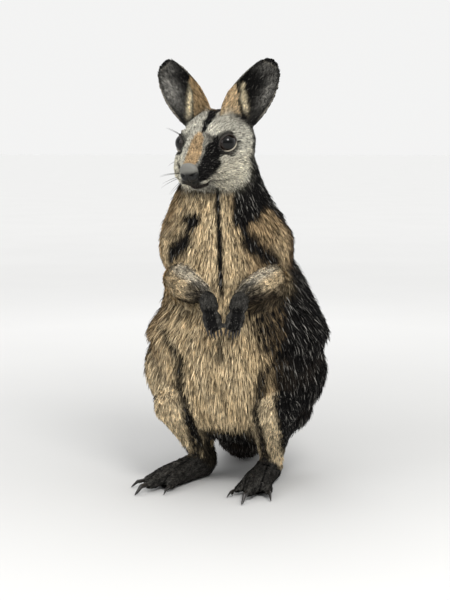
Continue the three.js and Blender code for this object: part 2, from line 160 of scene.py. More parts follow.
def ear_coords(side, points, normal):
    """Height up the ear (0 to 1), place across it (-1 to 1, positive by the crown), how far a surface faces
    into the hollow (-1 to 1)."""
    root, axis, facing, across = ear_frame(side)
    off = (points - root) / MM
    h = np.clip(off @ axis / EAR_LENGTH, 0, 1)
    x, y = off @ across, off @ facing - 0.05 * EAR_LENGTH * h**2
    curl = np.radians(87 - 29 * np.minimum(1, h / 0.72))
    bulge = np.sin(np.minimum(h / 0.5, 1) * math.pi / 2) ** 1.4
    tip = np.sqrt(np.maximum(0, 1 - (np.maximum(0, h - 0.5) / 0.5) ** 2))
    half = EAR_HALF_WIDTH * (0.8 + 0.2 * bulge) * np.maximum(tip, 0.05)
    v = np.zeros(len(points))
    for _ in range(4):
        fuller = np.where(side * v > 0, EAR_INNER_FULLNESS, EAR_OUTER_FULLNESS)
        full = fuller * np.abs(v) * hump(h, 0.28, 0.27)
        radius = half * (1 + full) / curl
        angle = np.arctan2(x, radius - y)
        v = np.clip(angle / curl, -1.2, 1.2)
    inward = -np.sin(angle)[:, None] * across + np.cos(angle)[:, None] * facing
    return h, v * side, (normal * inward).sum(1)


# ---------------------------------------------------------------- camera, light and floor

def new_object(name, data):
    obj = bpy.data.objects.new(name, data)
    bpy.context.scene.collection.objects.link(obj)
    return obj


CAMERA_AZIMUTH, CAMERA_DISTANCE, CAMERA_HEIGHT, CAMERA_ASIDE = 12, 1.7, 0.43, 0.017
CAMERA_PITCH, FOCAL_PIXELS, FRAME_HEIGHT = 6.65, 1322, 600

az, pitch = math.radians(CAMERA_AZIMUTH), math.radians(CAMERA_PITCH)
body_axis = Vector(row([0, 0, 0]))
away, aside = Vector((math.sin(az), -math.cos(az), 0)), Vector((math.cos(az), math.sin(az), 0))
camera = new_object("camera", bpy.data.cameras.new("camera"))
camera.location = body_axis + away * CAMERA_DISTANCE - aside * CAMERA_ASIDE + Vector((0, 0, CAMERA_HEIGHT))
look = -away * math.cos(pitch) - Vector((0, 0, math.sin(pitch)))
camera.rotation_euler = look.to_track_quat("-Z", "Y").to_euler()
camera.data.lens = FOCAL_PIXELS * 36 / FRAME_HEIGHT
camera.data.clip_start = 0.05
bpy.context.scene.camera = camera
bpy.context.scene.view_settings.view_transform = "Standard"


def lamp(name, azimuth, elevation, distance, size, power, colour=(1, 1, 1)):
    data = bpy.data.lights.new(name, "AREA")
    data.size, data.energy, data.color = size, power, colour
    obj = new_object(name, data)
    a, e = math.radians(azimuth), math.radians(elevation)
    way = Vector((math.sin(a) * math.cos(e), -math.cos(a) * math.cos(e), math.sin(e)))
    obj.location = body_axis + Vector((0, 0, 0.25)) + way * distance
    obj.rotation_euler = (-way).to_track_quat("-Z", "Y").to_euler()


lamp("key", 34, 46, 1.6, 0.55, 13, (1, 0.985, 0.96))
lamp("fill", -45, 22, 1.8, 0.9, 5.5)
lamp("rim", 195, 50, 1.8, 1.0, 8)

# The studio: bright overhead and behind the animal, dimmer before it, so that the eyes stay dark.
world = bpy.data.worlds.new("studio")
bpy.context.scene.world = world
world.use_nodes = True
wn, wl = world.node_tree.nodes, world.node_tree.links
split = wn.new("ShaderNodeSeparateXYZ")
wl.new(wn.new("ShaderNodeTexCoord").outputs["Generated"], split.inputs[0])


def world_ramp(source, stops):
    node = wn.new("ShaderNodeValToRGB")
    for element, (position, level) in zip(node.color_ramp.elements, stops):
        element.position, element.color = position, (level, level, level * 0.995, 1)
    wl.new(source, node.inputs["Fac"])
    return node.outputs["Color"]


shifted = wn.new("ShaderNodeMath")
shifted.inputs[1].default_value = 0.5
wl.new(split.outputs["Y"], shifted.inputs[0])
sky = wn.new("ShaderNodeMix")
sky.data_type = "RGBA"
wl.new(world_ramp(split.outputs["Z"], [(0.35, 0.0), (0.75, 1.0)]), sky.inputs[0])
wl.new(world_ramp(shifted.outputs[0], [(0.25, 0.36), (0.85, 0.9)]), sky.inputs[6])
sky.inputs[7].default_value = (1.05, 1.05, 1.045, 1)
wl.new(sky.outputs[2], wn["Background"].inputs["Color"])
wn["Background"].inputs["Strength"].default_value = 1.0


# ---------------------------------------------------------------- small helpers for meshes and materials


def linear(*rgb):
    c = np.array(rgb, float) / 255
    return np.where(c <= 0.04045, c / 12.92, ((c + 0.055) / 1.055) ** 2.4)


def mesh_from(name, vertices, faces, shade_smooth=True):
    """A mesh from an array of vertices and one of faces that all have the same number of corners."""
    mesh = bpy.data.meshes.new(name)
    count, corners = faces.shape
    mesh.vertices.add(len(vertices))
    mesh.vertices.foreach_set("co", np.ascontiguousarray(vertices, np.float32).ravel())
    mesh.loops.add(count * corners)
    mesh.loops.foreach_set("vertex_index", np.ascontiguousarray(faces, np.int32).ravel())
    mesh.polygons.add(count)
    mesh.polygons.foreach_set("loop_start", np.arange(count, dtype=np.int32) * corners)
    mesh.update(calc_edges=True)
    mesh.polygons.foreach_set("use_smooth", np.full(count, shade_smooth))
    return mesh


def arrays_of(mesh):
    points = np.empty(len(mesh.vertices) * 3, np.float32)
    mesh.vertices.foreach_get("co", points)
    mesh.calc_loop_triangles()
    triangles = np.empty(len(mesh.loop_triangles) * 3, np.int32)
    mesh.loop_triangles.foreach_get("vertices", triangles)
    return points.reshape(-1, 3).astype(float), triangles.reshape(-1, 3)


def welded(points, triangles):
    keys = np.round(points * 1e6).astype(np.int64)
    _, first, inverse = np.unique(keys, axis=0, return_index=True, return_inverse=True)
    return points[first], inverse.reshape(-1)[triangles]


def solid(name):
    return welded(*arrays_of(nodes[name].data))


def normals_of(points, triangles):
    a, b, c = (points[triangles[:, i]] for i in range(3))
    face = np.cross(b - a, c - a)
    total = np.zeros_like(points)
    for i in range(3):
        for k in range(3):
            total[:, k] += np.bincount(triangles[:, i], face[:, k], len(points))
    return unit(total)


def edges_of(mesh):
    edges = np.empty(len(mesh.edges) * 2, np.int32)
    mesh.edges.foreach_get("vertices", edges)
    return edges.reshape(-1, 2)


class Neighbours:
    """Averages a value over each vertex's neighbours."""

    def __init__(self, edges, count):
        self.a, self.b = np.concatenate([edges[:, 0], edges[:, 1]]), np.concatenate([edges[:, 1], edges[:, 0]])
        self.count = count
        self.degree = np.maximum(np.bincount(self.a, minlength=count), 1)

    def mean(self, x):
        if x.ndim == 1:
            return np.bincount(self.a, x[self.b], self.count) / self.degree
        return np.stack([self.mean(x[:, k]) for k in range(x.shape[1])], 1)

    def smoothed(self, x, passes, weight=0.6):
        for _ in range(passes):
            x = x + weight * (self.mean(x) - x)
        return x


def modified(obj, kind, **settings):
    """The object's mesh as a modifier leaves it."""
    modifier = obj.modifiers.new(kind, kind)
    for setting, value in settings.items():
        setattr(modifier, setting, value)
    mesh = bpy.data.meshes.new_from_object(obj.evaluated_get(bpy.context.evaluated_depsgraph_get()))
    obj.modifiers.clear()
    return mesh


def remeshed(points, triangles, size):
    obj = new_object("remesh", mesh_from("remesh", points, triangles))
    mesh = modified(obj, "REMESH", mode="VOXEL", voxel_size=size, adaptivity=0)
    bpy.data.objects.remove(obj)
    return mesh


def nearest(places, wanted):
    """The index of the place that is nearest to each of the wanted ones."""
    search = KDTree(len(places))
    for i, p in enumerate(places.tolist()):
        search.insert(p, i)
    search.balance()
    return np.array([search.find(p)[1] for p in wanted.tolist()])


class Look:
    """A material in the making: its methods add nodes and give back an output."""

    def __init__(self, name, roughness, specular=0.3):
        self.material = bpy.data.materials.new(name)
        self.material.use_nodes = True
        self.nodes, self.links = self.material.node_tree.nodes, self.material.node_tree.links
        self.shader = self.nodes["Principled BSDF"]
        self.shader.inputs["Roughness"].default_value = roughness
        self.shader.inputs["Specular IOR Level"].default_value = specular

    def attribute(self, name, output="Fac"):
        node = self.nodes.new("ShaderNodeAttribute")
        node.attribute_name = name
        return node.outputs[output]

    def place(self):
        return self.nodes.new("ShaderNodeTexCoord").outputs["Object"]

    def noise(self, scale, detail=4.0, stretch=None):
        """Noise over the place in space, stretched where stretch says so."""
        place = self.place()
        if stretch:
            mapping = self.nodes.new("ShaderNodeMapping")
            mapping.inputs["Scale"].default_value = stretch
            self.links.new(place, mapping.inputs["Vector"])
            place = mapping.outputs["Vector"]
        node = self.nodes.new("ShaderNodeTexNoise")
        node.inputs["Scale"].default_value, node.inputs["Detail"].default_value = scale, detail
        self.links.new(place, node.inputs["Vector"])
        return node.outputs["Fac"]

    def ramp(self, factor, *stops):
        """The colour that the stops give a factor. A stop is (position, colour), or a level for a grey."""
        stops = [(at, (*([c] * 3 if isinstance(c, float) else c), 1)) for at, c in stops]
        node = self.nodes.new("ShaderNodeValToRGB")
        self.links.new(factor, node.inputs["Fac"])
        elements = node.color_ramp.elements
        elements[0].position, elements[0].color = stops[0]
        elements[1].position, elements[1].color = stops[-1]
        for position, colour in stops[1:-1]:
            elements.new(position).color = colour
        return node.outputs["Color"]

    def mix(self, factor, a, b, kind="MIX"):
        node = self.nodes.new("ShaderNodeMix")
        node.data_type, node.blend_type = "RGBA", kind
        for socket, value in zip((node.inputs[0], node.inputs[6], node.inputs[7]), (factor, a, b)):
            if isinstance(value, bpy.types.NodeSocket):
                self.links.new(value, socket)
            else:
                socket.default_value = value if isinstance(value, float) else (*value, 1)
        return node.outputs[2]

    def times(self, a, b):
        return self.mix(1.0, a, b, "MULTIPLY")

    def colour(self, output):
        self.links.new(output, self.shader.inputs["Base Color"])

    def bump(self, height, strength, distance):
        node = self.nodes.new("ShaderNodeBump")
        node.inputs["Strength"].default_value, node.inputs["Distance"].default_value = strength, distance
        self.links.new(height, node.inputs["Height"])
        self.links.new(node.outputs["Normal"], self.shader.inputs["Normal"])


# ---------------------------------------------------------------- regions of the coat

# Each region, by the start of its nodes' names: the coat's depth, tuft length and tuft width (mm), tufts
# per square cm before the budget scales them, how far the skin is smoothed, how fine its faces stay, and
# whether the tufts are short ones.
REGIONS = {
    "head": (2.6, 6.5, 0.80, 190, 0.45, 1, True),
    "lower_jaw": (2.0, 5.0, 0.75, 190, 0.30, 1, True),
    "ear": (0.9, 4.5, 0.80, 110, 0.08, 1, True),
    "neck": (6.0, 15, 1.20, 62, 1.0, 0, False),
    "chest": (7.5, 19, 1.40, 46, 1.0, 0, False),
    "abdomen": (7.5, 20, 1.45, 42, 1.0, 0, False),
    "upper_arm": (5.0, 13, 1.15, 70, 0.6, 0, False),
    "forearm": (2.6, 8, 0.90, 110, 0.35, 0.4, False),
    "forepaw": (0.8, 3.6, 0.60, 230, 0.04, 1, True),
    "thigh": (7.0, 19, 1.40, 44, 1.0, 0, False),
    "shin": (3.6, 10, 1.05, 80, 0.5, 0.1, False),
    "foot": (1.5, 5.0, 0.80, 130, 0.2, 0.6, True),
    "tail_base": (6.0, 19, 1.35, 46, 0.8, 0, False),
    "tail_middle": (6.0, 21, 1.35, 46, 0.8, 0, False),
    "tail_brush": (10.0, 38, 1.45, 60, 0.7, 0, False),
}
NAMES = list(REGIONS)
DEPTH, LENGTH, WIDTH, DENSITY, SOFTEN, FINE, SHORT = (np.array(v, float) for v in zip(*REGIONS.values()))
HEAD, JAW, EAR, NECK, CHEST, ABDOMEN, ARM, FOREARM, PAW, THIGH, SHIN, FOOT, TAIL_A, TAIL_B, TAIL_C = range(15)


def region_of(node):
    return max((i for i, n in enumerate(NAMES) if node.startswith(n)), default=None)


# ---------------------------------------------------------------- the skin

FLESH = [n for n in nodes if region_of(n) is not None and "claw" not in n]
FILLING = ["nose", "eye_left", "eye_right"]  # solid under the pieces that are let into the head
CLAWS = [n for n in nodes if "claw" in n]

GROWN, CELL = 0.3 * MM, 1.5 * MM  # how far the solids swell so that they join, and the size of the skin's cells
CLAW_ROOT = 0.42  # the share of a claw that fills its pocket in the finger or toe
KEPT_FACES = 0.36  # the share of its faces that the skin keeps
FACE_DEPTH = 1.3  # mm, the coat's depth at the snout
TAIL_TIP_HAIR, TAIL_TIP_FROM = 37, 130  # mm, the hair past the tail's flesh, and where the flesh draws back

source, surface, face_region, start = [], [], [], 0
for name in FLESH + FILLING + CLAWS:
    points, triangles = solid(name)
    if name in CLAWS:
        root = points[np.argmax(points[:, 2] if "fore" in name else points[:, 1])]
        points = root + CLAW_ROOT * (points - root)
    source.append((points + GROWN * normals_of(points, triangles), triangles + start))
    start += len(points)
    if name in FLESH:
        surface.append((points, triangles))
        face_region.append(np.full(len(triangles), region_of(name)))
dense = remeshed(np.concatenate([p for p, _ in source]), np.concatenate([t for _, t in source]), CELL)
V, F = arrays_of(dense)
near = Neighbours(edges_of(dense), len(V))

offsets = np.cumsum([0] + [len(p) for p, _ in surface])
tree = BVHTree.FromPolygons(
    np.concatenate([p for p, _ in surface]).tolist(),
    np.concatenate([t + o for (_, t), o in zip(surface, offsets)]).tolist(),
)
face_region = np.concatenate(face_region)
hits = np.array([tree.find_nearest(p)[2] for p in V.tolist()])
region = face_region[hits]
soften = near.smoothed(SOFTEN[region], 20)
depth = near.smoothed(DEPTH[region], 26)
fine = near.smoothed(FINE[region], 10)
brush = near.smoothed((region == TAIL_C).astype(float), 20)
muzzle = near.smoothed(((region == HEAD) | (region == JAW)).astype(float), 8)
for _ in range(70):
    V = V + (0.55 * soften)[:, None] * (near.mean(V) - V)

_, forward, _ = head_coords(V)
on_face = muzzle * smooth(-5, 55, forward)
depth = depth + on_face * (FACE_DEPTH - depth) * 0.8
N = near.smoothed(normals_of(V, F), 6)
V = V - (depth * MM)[:, None] * unit(N)
# The flesh of the tail ends short of its brush, whose hairs reach past it.
tail_tip_way = unit(TAIL_PATH[-1] - TAIL_PATH[-2])
from_end = (row(TAIL_PATH[-1]) - V) @ tail_tip_way / MM
V = V - (brush * TAIL_TIP_HAIR * MM * np.clip(1 - from_end / TAIL_TIP_FROM, 0, 1.1))[:, None] * tail_tip_way

skin = new_object("skin", mesh_from("skin", V, F))
group = skin.vertex_groups.new(name="coarse")
for level in np.unique(np.round(1 - fine, 1)):
    group.add(np.nonzero(np.round(1 - fine, 1) == level)[0].tolist(), float(level), "REPLACE")
reduced = modified(skin, "DECIMATE", ratio=KEPT_FACES, vertex_group="coarse", vertex_group_factor=1.0)
skin.vertex_groups.clear()

# Finer faces where the lids, nostrils and lips are shaped.
work = bmesh.new()
work.from_mesh(reduced)
left, forward, up = head_coords(np.array([v.co for v in work.verts]))
eye_off = np.sqrt((np.abs(left) - 29) ** 2 + (forward - 14) ** 2 + (up - 10) ** 2)
wanted = (eye_off < 22) | ((forward > 22) & (up < 6) & (np.abs(left) < 40) & (forward < 90))
work.verts.ensure_lookup_table()
picked = [e for e in work.edges if wanted[e.verts[0].index] and wanted[e.verts[1].index]]
bmesh.ops.subdivide_edges(work, edges=picked, cuts=1, use_grid_fill=True)
bmesh.ops.triangulate(work, faces=work.faces[:])
work.to_mesh(reduced)
work.free()

dense_places = V
V, F = arrays_of(reduced)
match = nearest(dense_places, V)
W = np.zeros((len(V), len(NAMES)))
W[np.arange(len(V)), region[match]] = 1
near = Neighbours(edges_of(reduced), len(V))
W = near.smoothed(W, 14)
print("skin", len(V), "vertices", len(F), "triangles")

# The face: sockets that take the eyeballs, lips, nostrils' surround and brows.
EYES = {}  # by side: the centre, the way it looks, the way to its inner corner and the way to the brow
for side, name in ((1, "eye_left"), (-1, "eye_right")):
    lo, hi = (np.array(c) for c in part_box(name))
    gaze = HEAD_AXES @ unit(np.array([side * 0.76, -0.62, 0.2]))
    ahead = HEAD_AXES @ np.array([side * 0.05, -1.0, -0.16])
    ahead = unit(ahead - ahead @ gaze * gaze)
    EYES[side] = ((lo + hi) / 2, gaze, ahead, unit(np.cross(ahead, gaze)) * side)
EYE_OPEN, EYE_UPPER, EYE_LOWER = 11.7, 9.6, 8.9  # half the length of the opening, and its two heights, mm


def eye_place(side, points):
    """Where points lie round an eye: distance from its centre (mm) and how far outside the lids (1 = margin)."""
    centre, gaze, ahead, above = EYES[side]
    off = (points - centre) / MM
    r = np.linalg.norm(off, axis=1)
    u = off / np.maximum(r, 1e-6)[:, None]
    x, y, z = u @ ahead * EYE_RADIUS, u @ above * EYE_RADIUS, u @ gaze
    out = np.hypot(x / EYE_OPEN, y / np.where(y > 0, EYE_UPPER, EYE_LOWER))
    return r, np.where(z > 0, out, 9)


DIGITS = []  # where each paw's and foot's digits start, and their tips
for side, word in ((1, "left"), (-1, "right")):
    for kind, start in (("fore", on_chest(side, WRIST)), ("hind", np.array(ANKLE[side], float))):
        boxes = [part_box(c) for c in CLAWS if c.startswith(f"{kind}_claw_{word}")]
        DIGITS.append((row(start), np.array([(np.array(b[0]) + b[1]) / 2 for b in boxes])))


def digit_groove(points):
    """1 in the grooves between the fingers or toes, 0 along them."""
    groove = np.zeros(len(points))
    for start, tips in DIGITS:
        way = tips - start
        along = np.clip((points - start) @ way.T / (way**2).sum(1), 0, 1)
        off = np.linalg.norm(points[:, None] - start - along[:, :, None] * way, axis=2) / MM
        off.sort(axis=1)
        between = hump(off[:, 1] - off[:, 0], 0, 1.3) * smooth(0.3, 0.5, along.max(1))
        groove = np.maximum(groove, between * (off[:, 0] < 16))
    return groove


SWELLS = [  # left (on both sides), forward and up of its middle, its radii and its height, mm
    ((27, 17, 24), (12, 14, 6), 1.6),  # brow
    ((24, 34, 0), (8, 12, 7), -1.6),  # hollow before the eye
    ((33, 4, -8), (14, 16, 8), 1.2),  # cheek bone
    ((0, 40, -6), (7, 22, 6), 0.8),  # bridge
    ((12, 58, -24), (7, 7, 5), 1.4),  # whisker pad
    ((0, 62, -29), (1.3, 8, 6), -1.4),  # groove under the nose
    ((0, 72, -16), (8, 9, 8), -4.0),  # room behind the nose pad
]
LIP_GROOVE, LIP_ROLL, DIGIT_GROOVE = 1.9, 0.9, 1.1  # mm

left, forward, up = head_coords(V)
N = normals_of(V, F)
on_head = np.clip(W[:, HEAD] + W[:, JAW], 0, 1)
rise = np.zeros(len(V))  # how far each vertex moves out, in mm
off_mouth = up - (-31.2 + 0.045 * forward - 2.2 * hump(forward, 44, 10))
mouth_here = on_head * smooth(24, 32, forward) * smooth(0, 8, 66 - forward)
rise += mouth_here * (LIP_ROLL * hump(off_mouth, 3.4, 2.4) - LIP_GROOVE * hump(off_mouth, 0, 0.95))
for at, radii, size in SWELLS:
    off = (np.stack([np.abs(left), forward, up], 1) - at) / radii
    rise += on_head * size * np.exp(-(off**2).sum(1))
rise -= np.clip(W[:, PAW] + W[:, FOOT], 0, 1) * DIGIT_GROOVE * digit_groove(V)
V = V + N * (rise * MM)[:, None]
for side in EYES:
    r, out = eye_place(side, V)
    centre = EYES[side][0]
    lid = EYE_RADIUS + 0.5 + 1.1 * smooth(1.0, 1.35, out) - 1.6 * smooth(1.6, 2.6, out)
    ball = np.where(out < 1, EYE_RADIUS - 2.2 * smooth(1.02, 0.86, out), np.maximum(r, lid))
    reach = (r < EYE_RADIUS + 6) & (out < 2.8)
    V = np.where(reach[:, None], centre + (V - centre) * (ball / np.maximum(r, 1e-6))[:, None], V)
settle = on_head * smooth(-40, -20, forward)
for _ in range(2):
    held = np.minimum(*(np.abs(eye_place(s, V)[1] - 1) for s in EYES)) < 0.2
    V = V + np.where(held, 0, 0.35 * settle)[:, None] * (near.mean(V) - V)

skin.data = mesh_from("skin", V, F)
N = normals_of(V, F)
soft_normal = unit(near.smoothed(N, 8))
left, forward, up = head_coords(V)
P = design(V)

# ---------------------------------------------------------------- the coat's lie

lie = np.zeros_like(V)


def add_lie(region, direction, where=1.0):
    global lie
    weight = W[:, region] * where
    lie = lie + weight[:, None] * unit(np.broadcast_to(np.asarray(direction, float), V.shape))


head_back = HEAD_AXES @ np.array([0, 1.0, 0])
head_up = HEAD_AXES @ np.array([0, 0, 1.0])
head_left = HEAD_AXES @ np.array([1.0, 0, 0])
sideways = (left / 40)[:, None] * head_left
add_lie(HEAD, head_back + sideways * 0.5 + head_up * (0.25 * smooth(-10, 20, up) - 0.3)[:, None])
add_lie(JAW, head_back - 0.2 * head_up)
is_left = V[:, 0] > from_head(0, -28, 40)[0]
for side in (1, -1):
    root, axis, facing, across = ear_frame(side)
    mine = is_left if side == 1 else ~is_left
    spread = ((V - root) @ across / MM / EAR_HALF_WIDTH)[:, None] * across
    add_lie(EAR, axis + 0.35 * spread, mine)
add_lie(NECK, (0, 0.12, -1))
outward = np.concatenate([unit(from_trunk(P)), np.zeros((len(P), 1))], 1)
add_lie(CHEST, np.array([0, 0.1, -1]) + 0.12 * outward)
add_lie(ABDOMEN, np.array([0, 0.18, -1]) + 0.15 * outward)
for side in (1, -1):
    mine = (P[:, 0] > -20) == (side == 1)
    joints = [on_chest(side, p) for p in (SHOULDER, ELBOW, WRIST, FINGER_ROOT, (14, -114, 200))]
    for region, a, b in ((ARM, 0, 1), (FOREARM, 1, 2), (PAW, 2, 4)):
        add_lie(region, joints[b] - joints[a], mine)
    mine = P[:, 0] * side > 0
    knee, ankle = np.array(KNEE[side], float), np.array(ANKLE[side], float)
    top = smooth(0.1, 0.8, soft_normal[:, 2])[:, None] * np.array([0, -1.6, 0])
    add_lie(THIGH, np.array([0.15 * side, -0.15, -1.0]) + top, mine)
    add_lie(SHIN, 0.6 * unit(ankle - knee) + [0, 0, -0.5] + top, mine)
    turn = math.radians(FOOT_SPLAY[side])
    add_lie(FOOT, (side * math.sin(turn), -math.cos(turn), -0.15), mine)
tail_way = unit(np.diff(TAIL_PATH, axis=0))
tail_mid = (TAIL_PATH[1:, 1] + TAIL_PATH[:-1, 1]) / 2
along_tail = np.stack([np.interp(P[:, 1], tail_mid, tail_way[:, k]) for k in range(3)], 1)
for region in (TAIL_A, TAIL_B, TAIL_C):
    add_lie(region, along_tail)
lie = near.smoothed(lie, 14)
lie = unit(lie - (lie * soft_normal).sum(1, keepdims=True) * soft_normal)

# ---------------------------------------------------------------- markings

CREAM, TAN, SAND = linear(214, 196, 163), linear(176, 155, 120), linear(146, 125, 95)
BROWN, UMBER, BLACK = linear(98, 82, 64), linear(46, 39, 33), linear(14, 13, 13)
PALE, GREY, DUSK = linear(204, 201, 188), linear(128, 126, 118), linear(66, 64, 61)
SNOUT, CHEEK_CREAM = linear(184, 156, 118), linear(212, 205, 184)
# Where the front of the markings lies: degrees to the animal's left of straight ahead, by height. Being turned to
# the animal's right, it leaves the left side dark further forward than the right: partly the coat's dark back,
# partly painted shade.
FRONT_HEIGHTS, FRONT_TURNS = [120, 250, 330, 380, 420], [-14, -14, -12, -20, -25]


EAR_TUFT_AT = {1: 0.42, -1: 0.18}  # where the cream tuft lies across each ear's hollow
EAR_GAP = {1: 0.3, -1: 0.2}  # how far past it the tan begins
# the tan inside the ears is painted paler in the left ear than in the right: painted light and shade
EAR_TAN_LIT_AND_SHADED = {1: linear(236, 210, 170), -1: linear(190, 162, 122)}
FAR_MASK_DROP = 20  # mm that the mask's top lies lower on the right side


def layered(colour, *layers):
    """The colour under layers, each a (colour, amount) with one amount for each point."""
    for over, amount in layers:
        colour = colour + (over - colour) * np.clip(amount, 0, 1)[:, None]
    return colour


def wobble(points, size, seed):
    """Soft seeded noise in about -1 to 1 that breaks the borders of the markings."""
    r = np.random.default_rng(seed)
    total = np.zeros(len(points))
    for k in range(5):
        way = unit(r.normal(size=3)) / size * (1 + 0.5 * k)
        total += np.sin(points @ way * 6.283 + r.uniform(0, 6.28)) / (1 + 0.4 * k)
    return total / 2.2


def angle_round(p):
    """Degrees from the front of the markings round the trunk's axis."""
    off = from_trunk(p)
    a = np.degrees(np.arctan2(off[:, 0], -off[:, 1])) - np.interp(p[:, 2], FRONT_HEIGHTS, FRONT_TURNS)
    return (a + 180) % 360 - 180


def head_markings(points, rough, ragged):
    hl, hf, hu = head_coords(points)
    al = np.abs(hl)
    # the black mask fills the side of the snout from the nose to the eye's inner corner
    top_line = np.interp(hf, [18, 24, 30, 36, 44, 59, 68], [18, 19, 15.5, 11, 4.5, -5, -10])
    low_line = np.interp(hf, [18, 25, 33, 42, 52, 60, 68], [14, 4, -5, -20, -24, -25, -23])
    drop = np.where(hl > 0, 0, FAR_MASK_DROP)
    mask = smooth(1.8, -1.8, hu - top_line + drop + 1.3 * ragged) * smooth(-2.5, 2.5, hu - low_line + 2.2 * ragged)
    mask = mask * smooth(18, 23, hf) * smooth(8, 11.5, al)
    # a grey fringe on the tan bridge of the snout, whose top is a V between the eyes
    off_bridge = np.abs(hl + 2)
    top_edge = 25.5 - 0.55 * off_bridge
    half = np.interp(hf, [22, 30, 44, 60], [2.5, 7, 9.5, 8.5])
    bridge = smooth(1.6, -1.6, off_bridge - half + 0.9 * ragged) * smooth(1.5, -1.5, hu - top_edge)
    bridge = bridge * smooth(20, 25, hf) * smooth(-14, -9, hu)
    fringe = smooth(17, 11, al) * smooth(19, 25, hf) * smooth(26, 22, hu) * (hl > 0)
    # the dark stripe from between the ears down the forehead, which parts in two thin lines over the bridge
    half = np.interp(hf, [-40, -14, 3, 17, 24], [7, 6, 5.2, 3.2, 1.2])
    stripe = smooth(1.25, 0.75, np.abs(hl - 2) / half + 0.25 * ragged) * smooth(18, 24, hu) * smooth(27, 22, hf)
    line = hump(hu, top_edge + 0.8, 1.0) * smooth(17, 13, al) * smooth(22, 25, hf)
    # dark rings round the eyes, and dark fur at the ears' roots
    eyes = [eye_place(side, points) for side in EYES]
    ring = hump(np.minimum(*(np.abs(out - 1.1) for _, out in eyes)), 0, 0.17)
    ring = ring * (np.minimum(eyes[0][0], eyes[1][0]) < EYE_RADIUS + 7)
    ears_root = hump(al, 30, 13) * hump(hf, -30, 12) * smooth(18, 28, hu)
    # black lips under the nose, the seam between them, a grey-brown lower lip and a pale chin
    lips = smooth(52, 57, hf + 1.5 * ragged) * smooth(-20, -24, hu) * smooth(-31.5, -30, hu) * smooth(14, 10, al)
    seam = hump(hu, -31.2 + 0.045 * hf, 1.1) * smooth(24, 34, hf)
    lower_lip = smooth(38, 43, hf) * smooth(-29, -31, hu) * smooth(-37.5, -35.5, hu) * smooth(15, 12, al)
    # the neck's black reaches round behind the cheeks
    nape = smooth(-16, -30, hf + 5 * ragged + 0.1 * hu)
    return layered(
        PALE, (GREY, 0.22 + 0.14 * rough + 0.1 * ragged), (GREY, 0.5 * smooth(8, 30, hu) * smooth(20, -8, hf)),
        (CHEEK_CREAM, 0.5 * smooth(8, 24, al) * smooth(4, -12, hu)), (GREY, 0.8 * fringe), (BLACK, mask),
        (SNOUT, 0.95 * bridge * (1 - 0.7 * mask)), (BLACK, stripe), (UMBER, 0.75 * line), (BLACK, 0.95 * ring),
        (BLACK, 0.8 * ears_root), (BLACK, 0.9 * lips), (UMBER, 0.8 * seam), (linear(44, 39, 36), lower_lip),
        (BLACK, 0.97 * nape),
    )


def ear_markings(side, points, normal, ragged):
    h, v, into = ear_coords(side, points, normal)
    inside = smooth(-0.25, 0.25, into)
    grey = hump(h, 0.60, 0.24) * hump(v, -0.56, 0.26)
    if side == -1:
        grey = grey + 0.7 * hump(h, 0.62, 0.15) * hump(v, -0.3, 0.3)
    top_grey = hump(h, 0.84, 0.09) * hump(v, 0.15, 0.5)
    past_tuft = v - EAR_TUFT_AT[side] + 3.0 * (0.455 - h)
    gap = EAR_GAP[side]
    tan_inside = smooth(gap, gap + 0.1, past_tuft + 0.05 * ragged) * smooth(0.66, 0.56, h)
    tuft = hump(h, 0.37, 0.13, 4) * hump(past_tuft, 0, 0.15)
    hollow = layered(
        linear(15, 14, 14), (linear(138, 136, 131), (0.75 * grey + 0.45 * top_grey) * (1 + 0.5 * ragged)),
        (EAR_TAN_LIT_AND_SHADED[side], 0.95 * tan_inside), (linear(240, 226, 192), 1.3 * tuft),
    )
    strip = smooth(0.38, 0.55, v + 0.06 * ragged) * smooth(0.62, 0.42, h)
    rim = hump(np.abs(v), 0.89, 0.035) * smooth(0.2, 0.4, h) * smooth(0.97, 0.93, h)
    rim = np.clip(rim + 0.5 * hump(h, 0.905, 0.012) * (np.abs(v) < 0.6), 0, 1)
    return layered(
        linear(30, 28, 27), (linear(186, 158, 120), 0.92 * strip), (hollow, inside),
        (linear(196, 190, 176), 0.6 * rim * inside * (1 - tan_inside)),
        (BLACK, smooth(0.93, 0.97, np.abs(v)) + smooth(0.925, 0.94, h)),
    )


